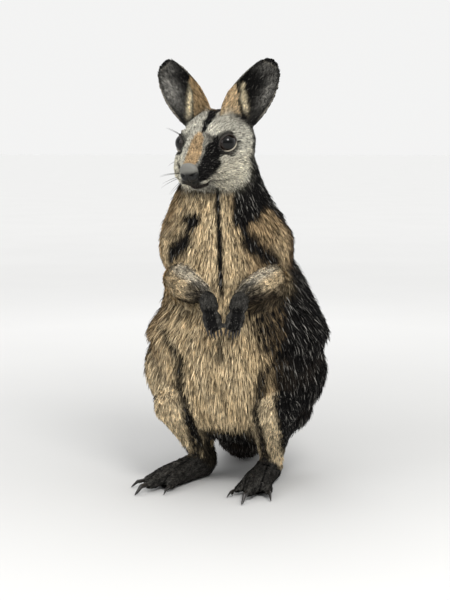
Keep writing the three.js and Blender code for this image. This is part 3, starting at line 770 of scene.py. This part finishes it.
def markings(points, normal, w):
    """The colour of each point of the coat, from its place, its normal and its share of each region."""
    p = design(points)
    x, y, z = p.T
    rough, ragged = wobble(p, 26, 3), wobble(p, 9, 4)
    a = np.abs(angle_round(p)) + 5 * rough + 4 * ragged
    front = layered(TAN, (CREAM, 0.42 + 0.3 * rough + 0.12 * ragged))
    past_dark = a - np.interp(z, [262, 292], [60, 98])
    # the left flank's black, partly the coat's dark colour and partly painted shade, begins at a line down beside
    # the leg's pale front
    flank_x = np.interp(z, [60, 85, 117, 163, 186, 203, 239, 262], [64, 68, 62, 54, 58, 64, 63, 68])
    flank = smooth(-4, 4, x - flank_x + 3 * ragged) * smooth(272, 254, z)
    # black mixed in on the left of the trunk above the flank: partly the coat's dark colour, partly painted shade
    mixed_from = np.interp(z, [192, 210, 234, 250, 262], [44, 34, 22, 12, 8])
    mix = smooth(-9, 9, x - mixed_from + 5 * ragged) * smooth(184, 194, z) * smooth(284, 268, z)
    mix = mix * np.clip(0.85 + 0.4 * ragged, 0, 1)
    # painted shade along the fold down the middle of the chest and the belly
    faces_front = smooth(-0.2, -0.6, normal[:, 1])
    seam_x = np.interp(z, [180, 240, 264, 301, 338, 370], [-3, -3, -6, -11, -14, -18])
    seam = hump(x, seam_x, 3.4, 4) * faces_front
    seam = seam * (smooth(246, 262, z) + 0.8 * smooth(170, 182, z) * smooth(212, 198, z))
    # painted shade in the lines where the thighs meet the belly, and on the right thigh
    inner = np.minimum(np.abs(x - np.interp(z, [75, 118, 163, 186, 205], [43, 40, 44, 60, 77])),
                       np.abs(x - np.interp(z, [85, 135, 178, 205, 220], [-48, -56, -52, -72, -84])))
    groin_shade = hump(inner, 0, 6.5, 4) * smooth(222, 204, z) * faces_front * np.clip(0.95 + 0.4 * ragged, 0, 1)
    thigh_shade = hump(z, 176, 28, 4) * hump(x, -68, 13, 4) * np.clip(0.5 + 0.6 * ragged, 0, 1)
    # black bands across the chest before each shoulder, and the collar's points above them
    mirrored = np.abs(x + 18)
    band = hump(z, 325 - (mirrored - 34) - 4 * ragged, 15, 4) * smooth(23, 32, mirrored + 3 * ragged)
    band = band * np.where(x > -18, smooth(82, 70, mirrored), smooth(66, 57, mirrored))
    band = band * smooth(0.1, -0.3, normal[:, 1])
    wedge = smooth(-4, 4, z - 335 - 0.9 * np.abs(mirrored - 28) + 4 * ragged) * smooth(14, 22, mirrored)
    wedge = wedge * np.where(x > -18, 1, smooth(356, 348, z)) * smooth(54, 46, mirrored + 3 * ragged)
    trunk = layered(
        front, (SAND, smooth(30, 54, a)), (UMBER, smooth(-6, 5, past_dark)), (BLACK, 0.9 * smooth(0, 12, past_dark)),
        (BROWN, 0.4 * smooth(120, 165, a)), (BLACK, 0.93 * flank), (BLACK, mix), (BLACK, seam),
        # the black low on the trunk is painted shade under the belly
        (BLACK, smooth(96, 82, z + 4 * ragged)), (BLACK, band + wedge + groin_shade),
    )
    # a painted shadow darkens the neck under the jaw, and the cheeks' and chin's pale hair hangs over the top of the
    # neck
    hl, hf, hu = head_coords(points)
    below_jaw = hu + 1.5 * ragged + 0.35 * np.minimum(hf - 5, 0)
    under_jaw = smooth(-14, -2, hf) * smooth(-50, -46, below_jaw)
    neck = layered(
        trunk, (BLACK, smooth(82, 94, a) + wedge), (BLACK, 0.8 * under_jaw),
        (PALE * 0.8 + GREY * 0.2, smooth(-42, -39, below_jaw) * under_jaw),
    )
    # the limbs, by the way that their surface faces
    azimuth = np.degrees(np.arctan2(normal[:, 0], -normal[:, 1])) + 20
    azimuth = np.abs((azimuth + 180) % 360 - 180) + 5 * rough + 4 * ragged
    own_side = normal[:, 0] * np.sign(x + 8) > -0.25
    outer = np.where(own_side, azimuth, np.minimum(azimuth, 58))
    # the left leg's front is painted paler than the right's as painted light; the umber on the right thigh and the
    # black where the thighs meet the belly are painted shade
    leg = layered(
        front, (CREAM, np.where(x > 0, 0.95, 0.6) + 0.2 * ragged), (BLACK, mix),
        (BLACK, np.where(x > 0, flank, smooth(46, 60, outer))), (UMBER, thigh_shade), (BLACK, groin_shade),
    )
    arm = layered(
        front, (SAND, smooth(24, 60, outer) * 0.5), (BROWN, smooth(76, 104, outer)),
        (BLACK, band + smooth(102, 128, outer)),
    )
    from_chest = chest_coords(p)
    inner_edge = smooth(0.1, -0.5, normal[:, 0] * np.sign(from_chest[:, 0])) + smooth(0.5, 0.9, normal[:, 2])
    at_wrist = from_chest[:, 1] + 4 * ragged
    # painted shade on the forearm's downward-facing side
    under = np.where(x > -16, smooth(0.15, -0.35, normal[:, 2] + 0.15 * ragged), smooth(-0.6, -0.95, normal[:, 2]))
    forearm = layered(
        front, (CREAM, 0.35 + 0.3 * ragged),
        (linear(206, 202, 190), 0.65 * np.clip(inner_edge, 0, 1) * smooth(-40, -56, from_chest[:, 1])),
        (DUSK, 0.8 * smooth(-82, -94, at_wrist)), (BLACK, 0.9 * smooth(-92, -100, at_wrist)), (UMBER, 0.9 * under),
    )
    # paws and feet are dark grey, with painted shade left black in the grooves between the digits
    ridge = smooth(0.5, 0.1, digit_groove(points))
    paws = layered(BLACK, (linear(92, 90, 86), (0.45 + 0.3 * ragged) * ridge))
    tail_brown = 0.45 * smooth(260, 160, y) * smooth(60, 120, y)
    tail = layered(UMBER, (BLACK, 0.55 + 0.35 * rough), (BROWN, tail_brown))
    head = head_markings(points, rough, ragged)
    ears = [ear_markings(side, points, normal, ragged) for side in (1, -1)]
    parts = {
        HEAD: head, JAW: head, EAR: np.where((hl > 0)[:, None], *ears), NECK: neck, CHEST: trunk, ABDOMEN: trunk,
        ARM: arm, FOREARM: forearm, PAW: paws, THIGH: leg, SHIN: leg, FOOT: paws,
        TAIL_A: tail, TAIL_B: tail, TAIL_C: tail,
    }
    total = w.sum(1)
    whole = sum(parts[k] * (w[:, k] / total)[:, None] for k in parts)
    # painted shade in the creases where the thighs and arms meet the trunk
    crease_shade = np.clip(4 * w[:, THIGH] * w[:, ABDOMEN], 0, 1) ** 2 + np.clip(4 * w[:, ARM] * w[:, CHEST], 0, 1) ** 2
    return layered(whole, (UMBER, 0.5 * crease_shade * np.clip(0.8 + 0.5 * ragged, 0, 1)))


tint = markings(V, soft_normal, W)


def set_colour(mesh, name, values):
    layer = mesh.attributes.new(name, "FLOAT_COLOR", "POINT")
    flat = np.concatenate([values, np.ones((len(values), 1))], 1).astype(np.float32)
    layer.data.foreach_set("color", flat.ravel())


def set_value(mesh, name, values):
    layer = mesh.attributes.new(name, "FLOAT", "POINT")
    layer.data.foreach_set("value", np.asarray(values, np.float32))


set_colour(skin.data, "tint", tint * 0.6)
skin_look = Look("skin_coat", 0.8, 0.2)
fleck = skin_look.ramp(skin_look.noise(420, 5), (0.3, 0.55), (0.7, 1.25))
skin_look.colour(skin_look.times(skin_look.attribute("tint", "Color"), fleck))
skin_look.bump(skin_look.noise(700, 3), 0.5, 0.0006)
skin.data.materials.append(skin_look.material)
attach(skin, "root")
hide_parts(*FLESH)

# ---------------------------------------------------------------- unwraps that the tufts' patches lie on


def unwrap(keep, faces_wanted):
    """UV places for the skin's vertices where keep is true, from an unwrap of a coarser copy of that part."""
    inside = keep[F].all(1)
    copy = new_object("unwrap", mesh_from("unwrap", V, F[inside]))
    mesh = modified(copy, "DECIMATE", ratio=min(1, faces_wanted / inside.sum()))
    copy.data = mesh
    for obj in bpy.context.selected_objects:
        obj.select_set(False)
    copy.select_set(True)
    bpy.context.view_layer.objects.active = copy
    bpy.ops.object.mode_set(mode="EDIT")
    bpy.ops.mesh.select_all(action="SELECT")
    bpy.ops.uv.smart_project(angle_limit=math.radians(66), island_margin=0.004)
    bpy.ops.object.mode_set(mode="OBJECT")
    uv = np.empty(len(mesh.loops) * 2, np.float32)
    mesh.uv_layers.active.data.foreach_get("uv", uv)
    uv = uv.reshape(-1, 2)
    points, _ = arrays_of(mesh)
    polygons = [list(p.vertices) for p in mesh.polygons]
    loops = [p.loop_start for p in mesh.polygons]
    search = BVHTree.FromPolygons(points.tolist(), polygons)
    found = np.zeros((len(V), 2))
    for i in np.nonzero(keep)[0]:
        place, _, face, _ = search.find_nearest(V[i])
        a, b, c = (points[k] for k in polygons[face][:3])
        m = np.stack([b - a, c - a], 1)
        s, t = np.clip(np.linalg.lstsq(m, np.array(place) - a, rcond=None)[0], 0, 1)
        k = loops[face]
        found[i] = uv[k] * (1 - s - t) + uv[k + 1] * s + uv[k + 2] * t
    bpy.data.objects.remove(copy)
    return np.clip(found, 0.002, 0.995)


# ---------------------------------------------------------------- the coat's tufts

BUDGET = 1_400_000  # triangles of the whole coat
LONG_LEVELS = [(0.0, 0.8), (0.34, 1.0), (0.7, 0.7)]  # shares of a tuft's length, each with its share of the width
SHORT_LEVELS = [(0.0, 0.9), (0.55, 0.85)]
LIDS_BARE = 1.16  # the fur begins this far outside the lids' margin
GROUND_CLEAR = 0.4 * MM  # soles below this height carry no fur
STRAYS, STRAY_HEIGHT = 0.08, 1.35  # the share of tufts that stand out of the coat, and how much higher they are
EAR_TUFT_LENGTH, EAR_TUFT_HEIGHT, EAR_EDGE_LENGTH = 2.4, 2.5, 0.5  # times a tuft's own
TUFTS_PER_LOCK = 14
INKED, INKED_SHADE, BRIGHT, BRIGHT_SHADE = 0.25, 0.28, 0.22, 1.4  # shares of the tufts, and their shades
PAST_BOX, SHORTENED = 3 * MM, 0.45  # tufts that pass the solids' box by this much are this much shorter
PATCH = 0.003  # size of a tuft's place on the unwrap
MOST_PER_PIECE = 190_000  # triangles


def faces_in(levels):
    return 2 * len(levels) - 1


areas = 0.5 * np.linalg.norm(np.cross(V[F[:, 1]] - V[F[:, 0]], V[F[:, 2]] - V[F[:, 0]]), axis=1)
density = (W @ DENSITY)[F].mean(1) * 1e4
short_share = (W @ SHORT)[F].mean(1) > 0.5
eye_off, out_of_lids = (np.minimum(*pair) for pair in zip(*(eye_place(side, V) for side in EYES)))
bare = ((eye_off < EYE_RADIUS + 3) & (out_of_lids < LIDS_BARE))[F].any(1)
bare |= ((np.abs(left) < 11.5) & (forward > 58) & (up > -25))[F].all(1)  # under the nose pad
bare |= (V[F][:, :, 2] < GROUND_CLEAR).all(1)
expected = np.where(bare, 0, areas * density)
expected *= BUDGET / (expected * np.where(short_share, faces_in(SHORT_LEVELS), faces_in(LONG_LEVELS))).sum()
counts = np.floor(expected + rng.random(len(expected))).astype(int)
root_face = np.repeat(np.arange(len(F)), counts)
n = len(root_face)
bary = rng.dirichlet((1, 1, 1), n)
corner = F[root_face]


def at_root(values):
    return np.einsum("nk,nk...->n...", bary, values[corner])


root = at_root(V)
up_way = unit(at_root(soft_normal))
way = at_root(lie)
way = unit(way - (way * up_way).sum(1, keepdims=True) * up_way)
w_root = at_root(W)
w_root /= w_root.sum(1, keepdims=True)
is_short = short_share[root_face]
h_left, h_forward, _ = head_coords(root)
face_part = (w_root[:, HEAD] + w_root[:, JAW]) * smooth(0, 60, h_forward)
length = (w_root @ LENGTH) * (1 - 0.55 * face_part) * rng.uniform(0.72, 1.25, n)
height = (w_root @ DEPTH) * (1 - 0.5 * face_part) * rng.uniform(0.55, 1.12, n)
width = (w_root @ WIDTH) * (1 - 0.2 * face_part) * rng.uniform(0.75, 1.25, n) * 1
height = np.where(rng.random(n) < STRAYS, height * STRAY_HEIGHT, height)
for side in (1, -1):
    ear_h, ear_v, ear_in = ear_coords(side, root, up_way)
    mine = (w_root[:, EAR] > 0.5) & (np.sign(h_left) == side)
    tuft = mine & (ear_in > 0.1) & (ear_h > 0.12) & (ear_h < 0.5) & (ear_v > 0.4) & (ear_v < 0.85)
    height = np.where(tuft, height * EAR_TUFT_HEIGHT, height)
    length = np.where(tuft, length * EAR_TUFT_LENGTH, length)
    at_edge = mine & ((np.abs(ear_v) > 0.82) | (ear_h > 0.9))
    length = np.where(at_edge, length * EAR_EDGE_LENGTH, length)
colour = markings(root, up_way, w_root)

# tufts gather into locks: each leans to the nearest lock's own tip
lock_ids = rng.choice(n, n // TUFTS_PER_LOCK, replace=False)
lock_place = root * np.where(is_short, 1, 0.5)[:, None] ** [0, 0, 1]  # locks are longer than wide
lock = lock_ids[nearest(lock_place[lock_ids], lock_place)]
across_way = np.cross(way, up_way)
sway = rng.normal(0, 0.13, n)
tip_flat = root + (way + sway[:, None] * across_way) * (length * MM)[:, None]
lock_tip = root[lock] + (way[lock] + 0.5 * sway[lock][:, None] * across_way[lock]) * (length * MM)[:, None]
lean = (lock_tip - tip_flat) * rng.uniform(0.25, 0.7, n)[:, None]
lean_size = np.linalg.norm(lean, axis=1, keepdims=True)
lean *= np.minimum(1, 0.35 * (length * MM)[:, None] / np.maximum(lean_size, 1e-9))
roll = rng.normal(0, 0.45, n)
flat_side = across_way * np.cos(roll)[:, None] + up_way * np.sin(roll)[:, None]

# colour of each tuft: dark inked ones and pale ones among the rest
lock_shade = np.clip(rng.normal(0, 1, n)[lock], -1.8, 1) * np.where(is_short, 0.2, 0.3)
shade = np.exp(rng.normal(0, 0.16, n) + lock_shade)
inked = rng.random(n) < INKED
bright = rng.random(n) < BRIGHT
shade = np.where(inked, shade * INKED_SHADE, np.where(bright, shade * BRIGHT_SHADE, shade))
grey_hair = (colour.max(1) < 0.03) & (rng.random(n) < np.where(is_short, 0.07, 0.12))
grey_shade = np.where(is_short, 0.6, 1)[:, None] * linear(112, 110, 106)
colour = np.where(grey_hair[:, None], grey_shade, colour) * shade[:, None]


def tuft_curve(pick, share):
    """The middle line of the picked tufts at a share of their length."""
    rise_here = height[pick] * (1 - (1 - share) ** 1.7) - 0.35
    flat = (way[pick] + sway[pick][:, None] * across_way[pick] * share) * (length[pick] * share * MM)[:, None]
    return root[pick] + flat + up_way[pick] * (rise_here * MM)[:, None] + lean[pick] * share**2


# the solids end at the tips of the coat, so tufts that pass their box are shorter
tips = tuft_curve(np.arange(n), 1.0)
past = ((tips < np.array(cad_box[0]) - PAST_BOX) | (tips > np.array(cad_box[1]) + PAST_BOX)).any(1)
shorter = np.where(past, SHORTENED, 1)
length, height, lean = length * shorter, height * shorter, lean * shorter[:, None]


def coat_piece(name, pick, levels, uv, mat):
    """One joined mesh of flat tapering tufts. levels are (share of the length, share of the width)."""
    rows, count = len(levels), len(pick)
    per = rows * 2 + 1
    points = np.empty((count, per, 3))
    along = np.empty((count, per))
    for k, (share, wide) in enumerate(levels):
        mid = tuft_curve(pick, share)
        half = flat_side[pick] * (width[pick] * wide * 0.5 * MM)[:, None]
        points[:, 2 * k], points[:, 2 * k + 1] = mid - half, mid + half
        along[:, 2 * k] = along[:, 2 * k + 1] = share
    points[:, -1] = tuft_curve(pick, 1.0)
    along[:, -1] = 1
    points[..., 2] = np.maximum(points[..., 2], 0.0002)
    pattern = []
    for k in range(rows - 1):
        a = 2 * k
        pattern += [(a, a + 1, a + 3), (a, a + 3, a + 2)]
    pattern.append((per - 3, per - 2, per - 1))
    faces = (np.arange(count)[:, None, None] * per + np.array(pattern)[None]).reshape(-1, 3)
    mesh = mesh_from(name, points.reshape(-1, 3), faces)
    set_colour(mesh, "tint", np.repeat(colour[pick], per, 0))
    set_value(mesh, "along", along.ravel())
    best = corner[pick, np.argmax(bary[pick], 1)]
    place = uv[best]
    grid = np.empty((count, per, 2))
    for k, (share, _) in enumerate(levels):
        grid[:, 2 * k] = place + [0, PATCH * share]
        grid[:, 2 * k + 1] = place + [PATCH, PATCH * share]
    grid[:, -1] = place + [PATCH / 2, PATCH]
    layer = mesh.uv_layers.new(name="OFBake")
    layer.data.foreach_set("uv", np.clip(grid.reshape(-1, 2), 0, 1)[faces.ravel()].astype(np.float32).ravel())
    mesh.materials.append(mat)
    obj = new_object(name, mesh)
    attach(obj, "root")
    return obj


def fur_material(name, roughness, root_dark):
    look = Look(name, roughness, 0.1)
    # each tuft runs from a dark root to a bright tip: partly the hair's own banding, partly painted shade at the
    # root and a painted highlight at the tip
    shade = look.ramp(look.attribute("along"), (0.0, root_dark), (0.45, 0.92), (1.0, 1.34))
    fleck = look.ramp(look.noise(260, 3), (0.25, 0.82), (0.75, (1.14, 1.13, 1.1)))
    look.colour(look.times(look.times(look.attribute("tint", "Color"), shade), fleck))
    return look.material


body_fur = fur_material("coat_fur", 0.75, 0.3)
head_fur = fur_material("face_fur", 0.7, 0.6)
foot_fur = fur_material("foot_fur", 0.65, 0.6)
on_head_side = (w_root[:, HEAD] + w_root[:, JAW] + w_root[:, EAR]) > 0.5
order = rng.permutation(n)
groups = {
    "coat_body": (order[~is_short[order]], LONG_LEVELS, "coat", body_fur, W @ (1 - SHORT) > 0.25, 16000),
    "coat_head": (order[is_short[order] & on_head_side[order]], SHORT_LEVELS, "grey_coat", head_fur,
                  W[:, [HEAD, JAW, EAR]].sum(1) > 0.25, 9000),
    "coat_feet": (order[is_short[order] & ~on_head_side[order]], SHORT_LEVELS, "dark_coat", foot_fur,
                  W[:, [PAW, FOOT]].sum(1) > 0.2, 6000),
}
for name, (pick, levels, slot, mat, keep, detail) in groups.items():
    uv = unwrap(keep, detail)
    pieces = math.ceil(len(pick) * faces_in(levels) / MOST_PER_PIECE)
    for k in range(pieces):
        coat_piece(f"{name}_{k + 1}", pick[k::pieces], levels, uv, mat)
    print(name, len(pick), "tufts in", pieces, "pieces")

# ---------------------------------------------------------------- eyes

eye_look = Look("eye", 0.04, 0.3)
iris = eye_look.ramp(eye_look.attribute("out"), (0.0, 0.002), (0.42, 0.002), (0.5, (0.012, 0.006, 0.003)),
                     (0.74, (0.006, 0.003, 0.002)), (0.84, 0.002))
eye_look.colour(eye_look.times(iris, eye_look.ramp(eye_look.noise(900, 4), (0.3, 0.6), (0.7, 1.3))))

lid_look = Look("lid", 0.45, 0.4)
shade = lid_look.ramp(lid_look.noise(800, 4), (0.3, linear(26, 23, 21)), (0.75, linear(60, 52, 46)))
lid_look.colour(lid_look.mix(lid_look.attribute("pale"), shade, linear(176, 168, 150)))
lid_look.bump(lid_look.noise(1500, 3), 0.4, 0.0003)


LID_STEPS, LID_SIDES, LID_THICK = 72, 8, 1.05  # how finely the lids' margins are made, and their radius in mm


def ball_mesh(radius, gaze, ahead, above, around=48, rings=28):
    """A ball whose pole looks along the gaze, with a cornea that stands a little proud."""
    t, a = np.meshgrid(np.linspace(0, math.pi, rings + 1)[1:-1], np.arange(around) * 2 * math.pi / around,
                       indexing="ij")
    t, a = t.ravel(), a.ravel()
    t = np.concatenate([[0], t, [math.pi]])
    a = np.concatenate([[0], a, [0]])
    r = radius * (1 + 0.045 * np.exp(-((t / 0.62) ** 4)))
    local = np.stack([np.sin(t) * np.cos(a), np.sin(t) * np.sin(a), np.cos(t)], 1) * r[:, None]
    points = local[:, :1] * ahead + local[:, 1:2] * above + local[:, 2:] * gaze
    faces = []
    for k in range(around):
        j = (k + 1) % around
        faces.append((0, 1 + k, 1 + j))
        for m in range(rings - 2):
            p, q = 1 + m * around, 1 + (m + 1) * around
            faces += [(p + k, q + k, q + j), (p + k, q + j, p + j)]
        last = 1 + (rings - 2) * around
        faces.append((last + k, len(t) - 1, last + j))
    return points, np.array(faces), t / (math.pi / 2)


for side, name in ((1, "eye_left"), (-1, "eye_right")):
    centre, gaze, ahead, above = EYES[side]
    points, faces, out = ball_mesh(EYE_RADIUS * MM, gaze, ahead, above)
    if np.cross(ahead, above) @ gaze < 0:
        faces = faces[:, ::-1]
    eye = new_object(name + "ball", mesh_from(name, points + centre, faces))
    set_value(eye.data, "out", out)
    eye.data.materials.append(eye_look.material)
    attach(eye, "root")
    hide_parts(name)

    # the lids' margins: a soft rim that follows the opening over the ball
    angle = np.arange(LID_STEPS) * 2 * math.pi / LID_STEPS
    x = EYE_OPEN * np.sign(np.cos(angle)) * np.abs(np.cos(angle)) ** 0.92
    y = np.where(np.sin(angle) > 0, EYE_UPPER, EYE_LOWER) * np.sin(angle) * (1 - 0.10 * np.cos(angle) ** 4)
    z = np.sqrt(np.maximum(EYE_RADIUS**2 - x**2 - y**2, 0.1))
    line_way = unit(x[:, None] * ahead + y[:, None] * above + z[:, None] * gaze)
    path = centre + line_way * (EYE_RADIUS + 0.35) * MM
    tangent = unit(np.roll(path, -1, 0) - np.roll(path, 1, 0))
    beside = np.cross(tangent, line_way)
    thick = LID_THICK + 0.35 * np.maximum(np.sin(angle), 0)
    ring = np.arange(LID_SIDES) * 2 * math.pi / LID_SIDES
    tube = (path[:, None] + (line_way[:, None] * np.sin(ring)[None, :, None]
            + beside[:, None] * np.cos(ring)[None, :, None]) * (thick * MM)[:, None, None])
    here, after = (np.roll(np.arange(LID_STEPS), -k)[:, None] * LID_SIDES for k in (0, 1))
    j, j_after = np.arange(LID_SIDES), np.roll(np.arange(LID_SIDES), -1)
    faces = np.stack([here + j, here + j_after, after + j_after, after + j], 2).reshape(-1, 4)
    lids = new_object(name.replace("eye", "lids"), mesh_from("lids", tube.reshape(-1, 3), faces))
    set_value(lids.data, "pale", np.repeat(smooth(0.45, 0.95, -np.sin(angle)) * 0.8, LID_SIDES))
    lids.data.materials.append(lid_look.material)
    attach(lids, "root")

# ---------------------------------------------------------------- nose

NOSE_CELL, CLAW_CELL = 0.55 * MM, {"fore": 0.35 * MM, "hind": 0.5 * MM}  # sizes of the cells of their meshes
nose_mesh = remeshed(*solid("nose"), NOSE_CELL)
NV, NF = arrays_of(nose_mesh)
nose_near = Neighbours(edges_of(nose_mesh), len(NV))
NV = nose_near.smoothed(NV, 26)
NV = NV + normals_of(NV, NF) * 0.5 * MM
hl, hf, hu = head_coords(NV)
al = np.abs(hl)
# a comma-shaped nostril on each side, whose tail turns out and up, a groove down the middle and a lobe below
hole = ((al - 6.0) / 2.5) ** 2 + ((hu + 16.2) / 2.0) ** 2
tail_line = (hu + 13.6 - 0.25 * (al - 9)) ** 2 + np.clip(np.abs(al - 9) - 2.2, 0, None) ** 2
dent = 3.4 * np.exp(-hole * 1.2) + 1.5 * np.exp(-tail_line) + 0.8 * hump(hl, 0, 0.7) * smooth(-14, -19, hu)
lobe = 0.7 * hump(al, 6.5, 4) * hump(hu, -20.5, 2.4)
on_front = smooth(60, 64, hf)
NV = NV + unit(nose_near.smoothed(normals_of(NV, NF), 3)) * (on_front * (lobe - dent) * MM)[:, None]
nose = new_object("nose_pad", mesh_from("nose_pad", NV, NF))
# the nostrils are painted near black as painted shade in their hollows
set_value(nose.data, "dark", np.clip(np.exp(-hole) + 0.8 * np.exp(-tail_line), 0, 1) * on_front)
# a painted highlight: the top of the nose pad is grey, reaching lower on the right side
set_value(nose.data, "top", smooth(-15, -8, hu + 0.25 * al - 0.25 * np.maximum(hl, 0)))
nose_look = Look("nose_skin", 0.45, 0.25)
shade = nose_look.ramp(nose_look.noise(600, 4), (0.3, linear(16, 16, 16)), (0.7, linear(36, 36, 35)))
with_lit_top = nose_look.mix(nose_look.attribute("top"), shade, linear(122, 121, 115))
nose_look.colour(nose_look.mix(nose_look.attribute("dark"), with_lit_top, linear(12, 11, 11)))
cells = nose_look.nodes.new("ShaderNodeTexVoronoi")
cells.inputs["Scale"].default_value = 900
nose_look.links.new(nose_look.place(), cells.inputs["Vector"])
nose_look.bump(cells.outputs["Distance"], 0.5, 0.0004)
nose.data.materials.append(nose_look.material)
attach(nose, "root")
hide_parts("nose")

# ---------------------------------------------------------------- claws

claw_look = Look("claw_horn", 0.34, 0.5)
grain = claw_look.noise(500, 3, (1, 0.25, 0.5))
horn = claw_look.ramp(grain, (0.25, linear(20, 18, 17)), (0.6, linear(42, 38, 35)), (0.85, linear(88, 80, 72)))
claw_look.colour(horn)
claw_look.bump(claw_look.noise(900, 2, (1, 0.2, 0.6)), 0.3, 0.0003)
for name in CLAWS:
    claw_mesh = remeshed(*solid(name), CLAW_CELL["fore" if "fore" in name else "hind"])
    CV, CF = arrays_of(claw_mesh)
    CV = Neighbours(edges_of(claw_mesh), len(CV)).smoothed(CV, 8, 0.5)
    claw = new_object(name + "_horn", mesh_from(name, CV, CF))
    claw.data.materials.append(claw_look.material)
    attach(claw, "root")
    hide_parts(name)

# ---------------------------------------------------------------- whiskers

WHISKERS = [  # left, forward and up of the root, the way it points, its length (mm)
    ((15, 56, -17), (0.90, 0.30, 0.10), 30), ((17, 51, -19), (0.95, 0.05, 0.02), 36),
    ((14, 59, -21), (0.85, 0.42, -0.12), 26), ((17, 53, -23), (0.92, 0.15, -0.25), 34),
    ((14, 58, -26), (0.75, 0.40, -0.45), 24), ((16, 49, -26), (0.85, 0.0, -0.5), 32),
    ((25, 26, 24), (0.75, 0.25, 0.62), 30), ((29, 22, 25), (0.85, 0.0, 0.55), 25),
    ((33, 6, -16), (0.95, -0.1, -0.3), 22),
]
WHISKER_RADIUS, WHISKER_RINGS = 0.44 * MM, 9
points, faces = [], []
skin_tree = BVHTree.FromPolygons(V.tolist(), F.tolist())
bend = HEAD_AXES @ np.array([0, 0.35, -0.4])
for side, (at, points_to, size) in ((s, w) for s in (1, -1) for w in WHISKERS):
    begin = np.array(skin_tree.find_nearest(from_head(side * at[0], at[1], at[2]).tolist())[0])
    away = HEAD_AXES @ unit(np.array([side * points_to[0], -points_to[1], points_to[2]]))
    beside = unit(np.cross(away, [0, 0, 1.0]))
    over = np.cross(beside, away)
    first = len(points)
    for t in np.linspace(0, 1, WHISKER_RINGS):
        middle = begin + (away * size * (t - 0.04) + bend * size * 0.45 * t**2) * MM
        thick = WHISKER_RADIUS * (1 - 0.85 * t)
        points += [middle + thick * (np.cos(q) * beside + np.sin(q) * over) for q in (0, 2.09, 4.19)]
    for k in range(WHISKER_RINGS - 1):
        for j in range(3):
            a, b = first + 3 * k + j, first + 3 * k + (j + 1) % 3
            faces += [(a, b, b + 3), (a, b + 3, a + 3)]
    last = len(points)
    faces += [(first + 2, first + 1, first), (last - 3, last - 2, last - 1)]
whisker_look = Look("whisker_hair", 0.4, 0.3)
grain = whisker_look.noise(300, 2)
whisker_look.colour(whisker_look.ramp(grain, (0.3, linear(16, 15, 14)), (0.7, linear(44, 40, 36))))
whiskers = new_object("whiskers", mesh_from("whiskers", np.array(points), np.array(faces)))
whiskers.data.materials.append(whisker_look.material)
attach(whiskers, "root")

# ---------------------------------------------------------------- floor

FLOOR_HALF = 60  # m, so that it reaches the horizon
square = np.array([[-1, -1, 0], [1, -1, 0], [1, 1, 0], [-1, 1, 0]], float) * FLOOR_HALF
floor = new_object("floor", mesh_from("floor", square, np.array([[0, 1, 2, 3]])))
floor_look = Look("floor_paper", 0.95, 0.0)
off_middle = floor_look.nodes.new("ShaderNodeVectorMath")
off_middle.operation = "LENGTH"
floor_look.links.new(floor_look.place(), off_middle.inputs[0])
far = floor_look.nodes.new("ShaderNodeMath")
far.operation = "DIVIDE"
far.inputs[1].default_value = 5.0  # m at which the ramp ends
floor_look.links.new(off_middle.outputs["Value"], far.inputs[0])
# the floor is painted darker near the animal, where the lamps light it, and paler far off: painted shade that evens
# out the lamps' light
shade = floor_look.ramp(far.outputs[0], (0.0, (0.54, 0.54, 0.535)), (0.25, (0.80, 0.80, 0.795)),
                        (0.6, (0.93, 0.93, 0.925)), (1.0, (0.97, 0.97, 0.965)))
fibre = floor_look.ramp(floor_look.noise(3, 2), (0.3, 0.985), (0.7, 1.0))
floor_look.colour(floor_look.times(shade, fibre))
floor.data.materials.append(floor_look.material)
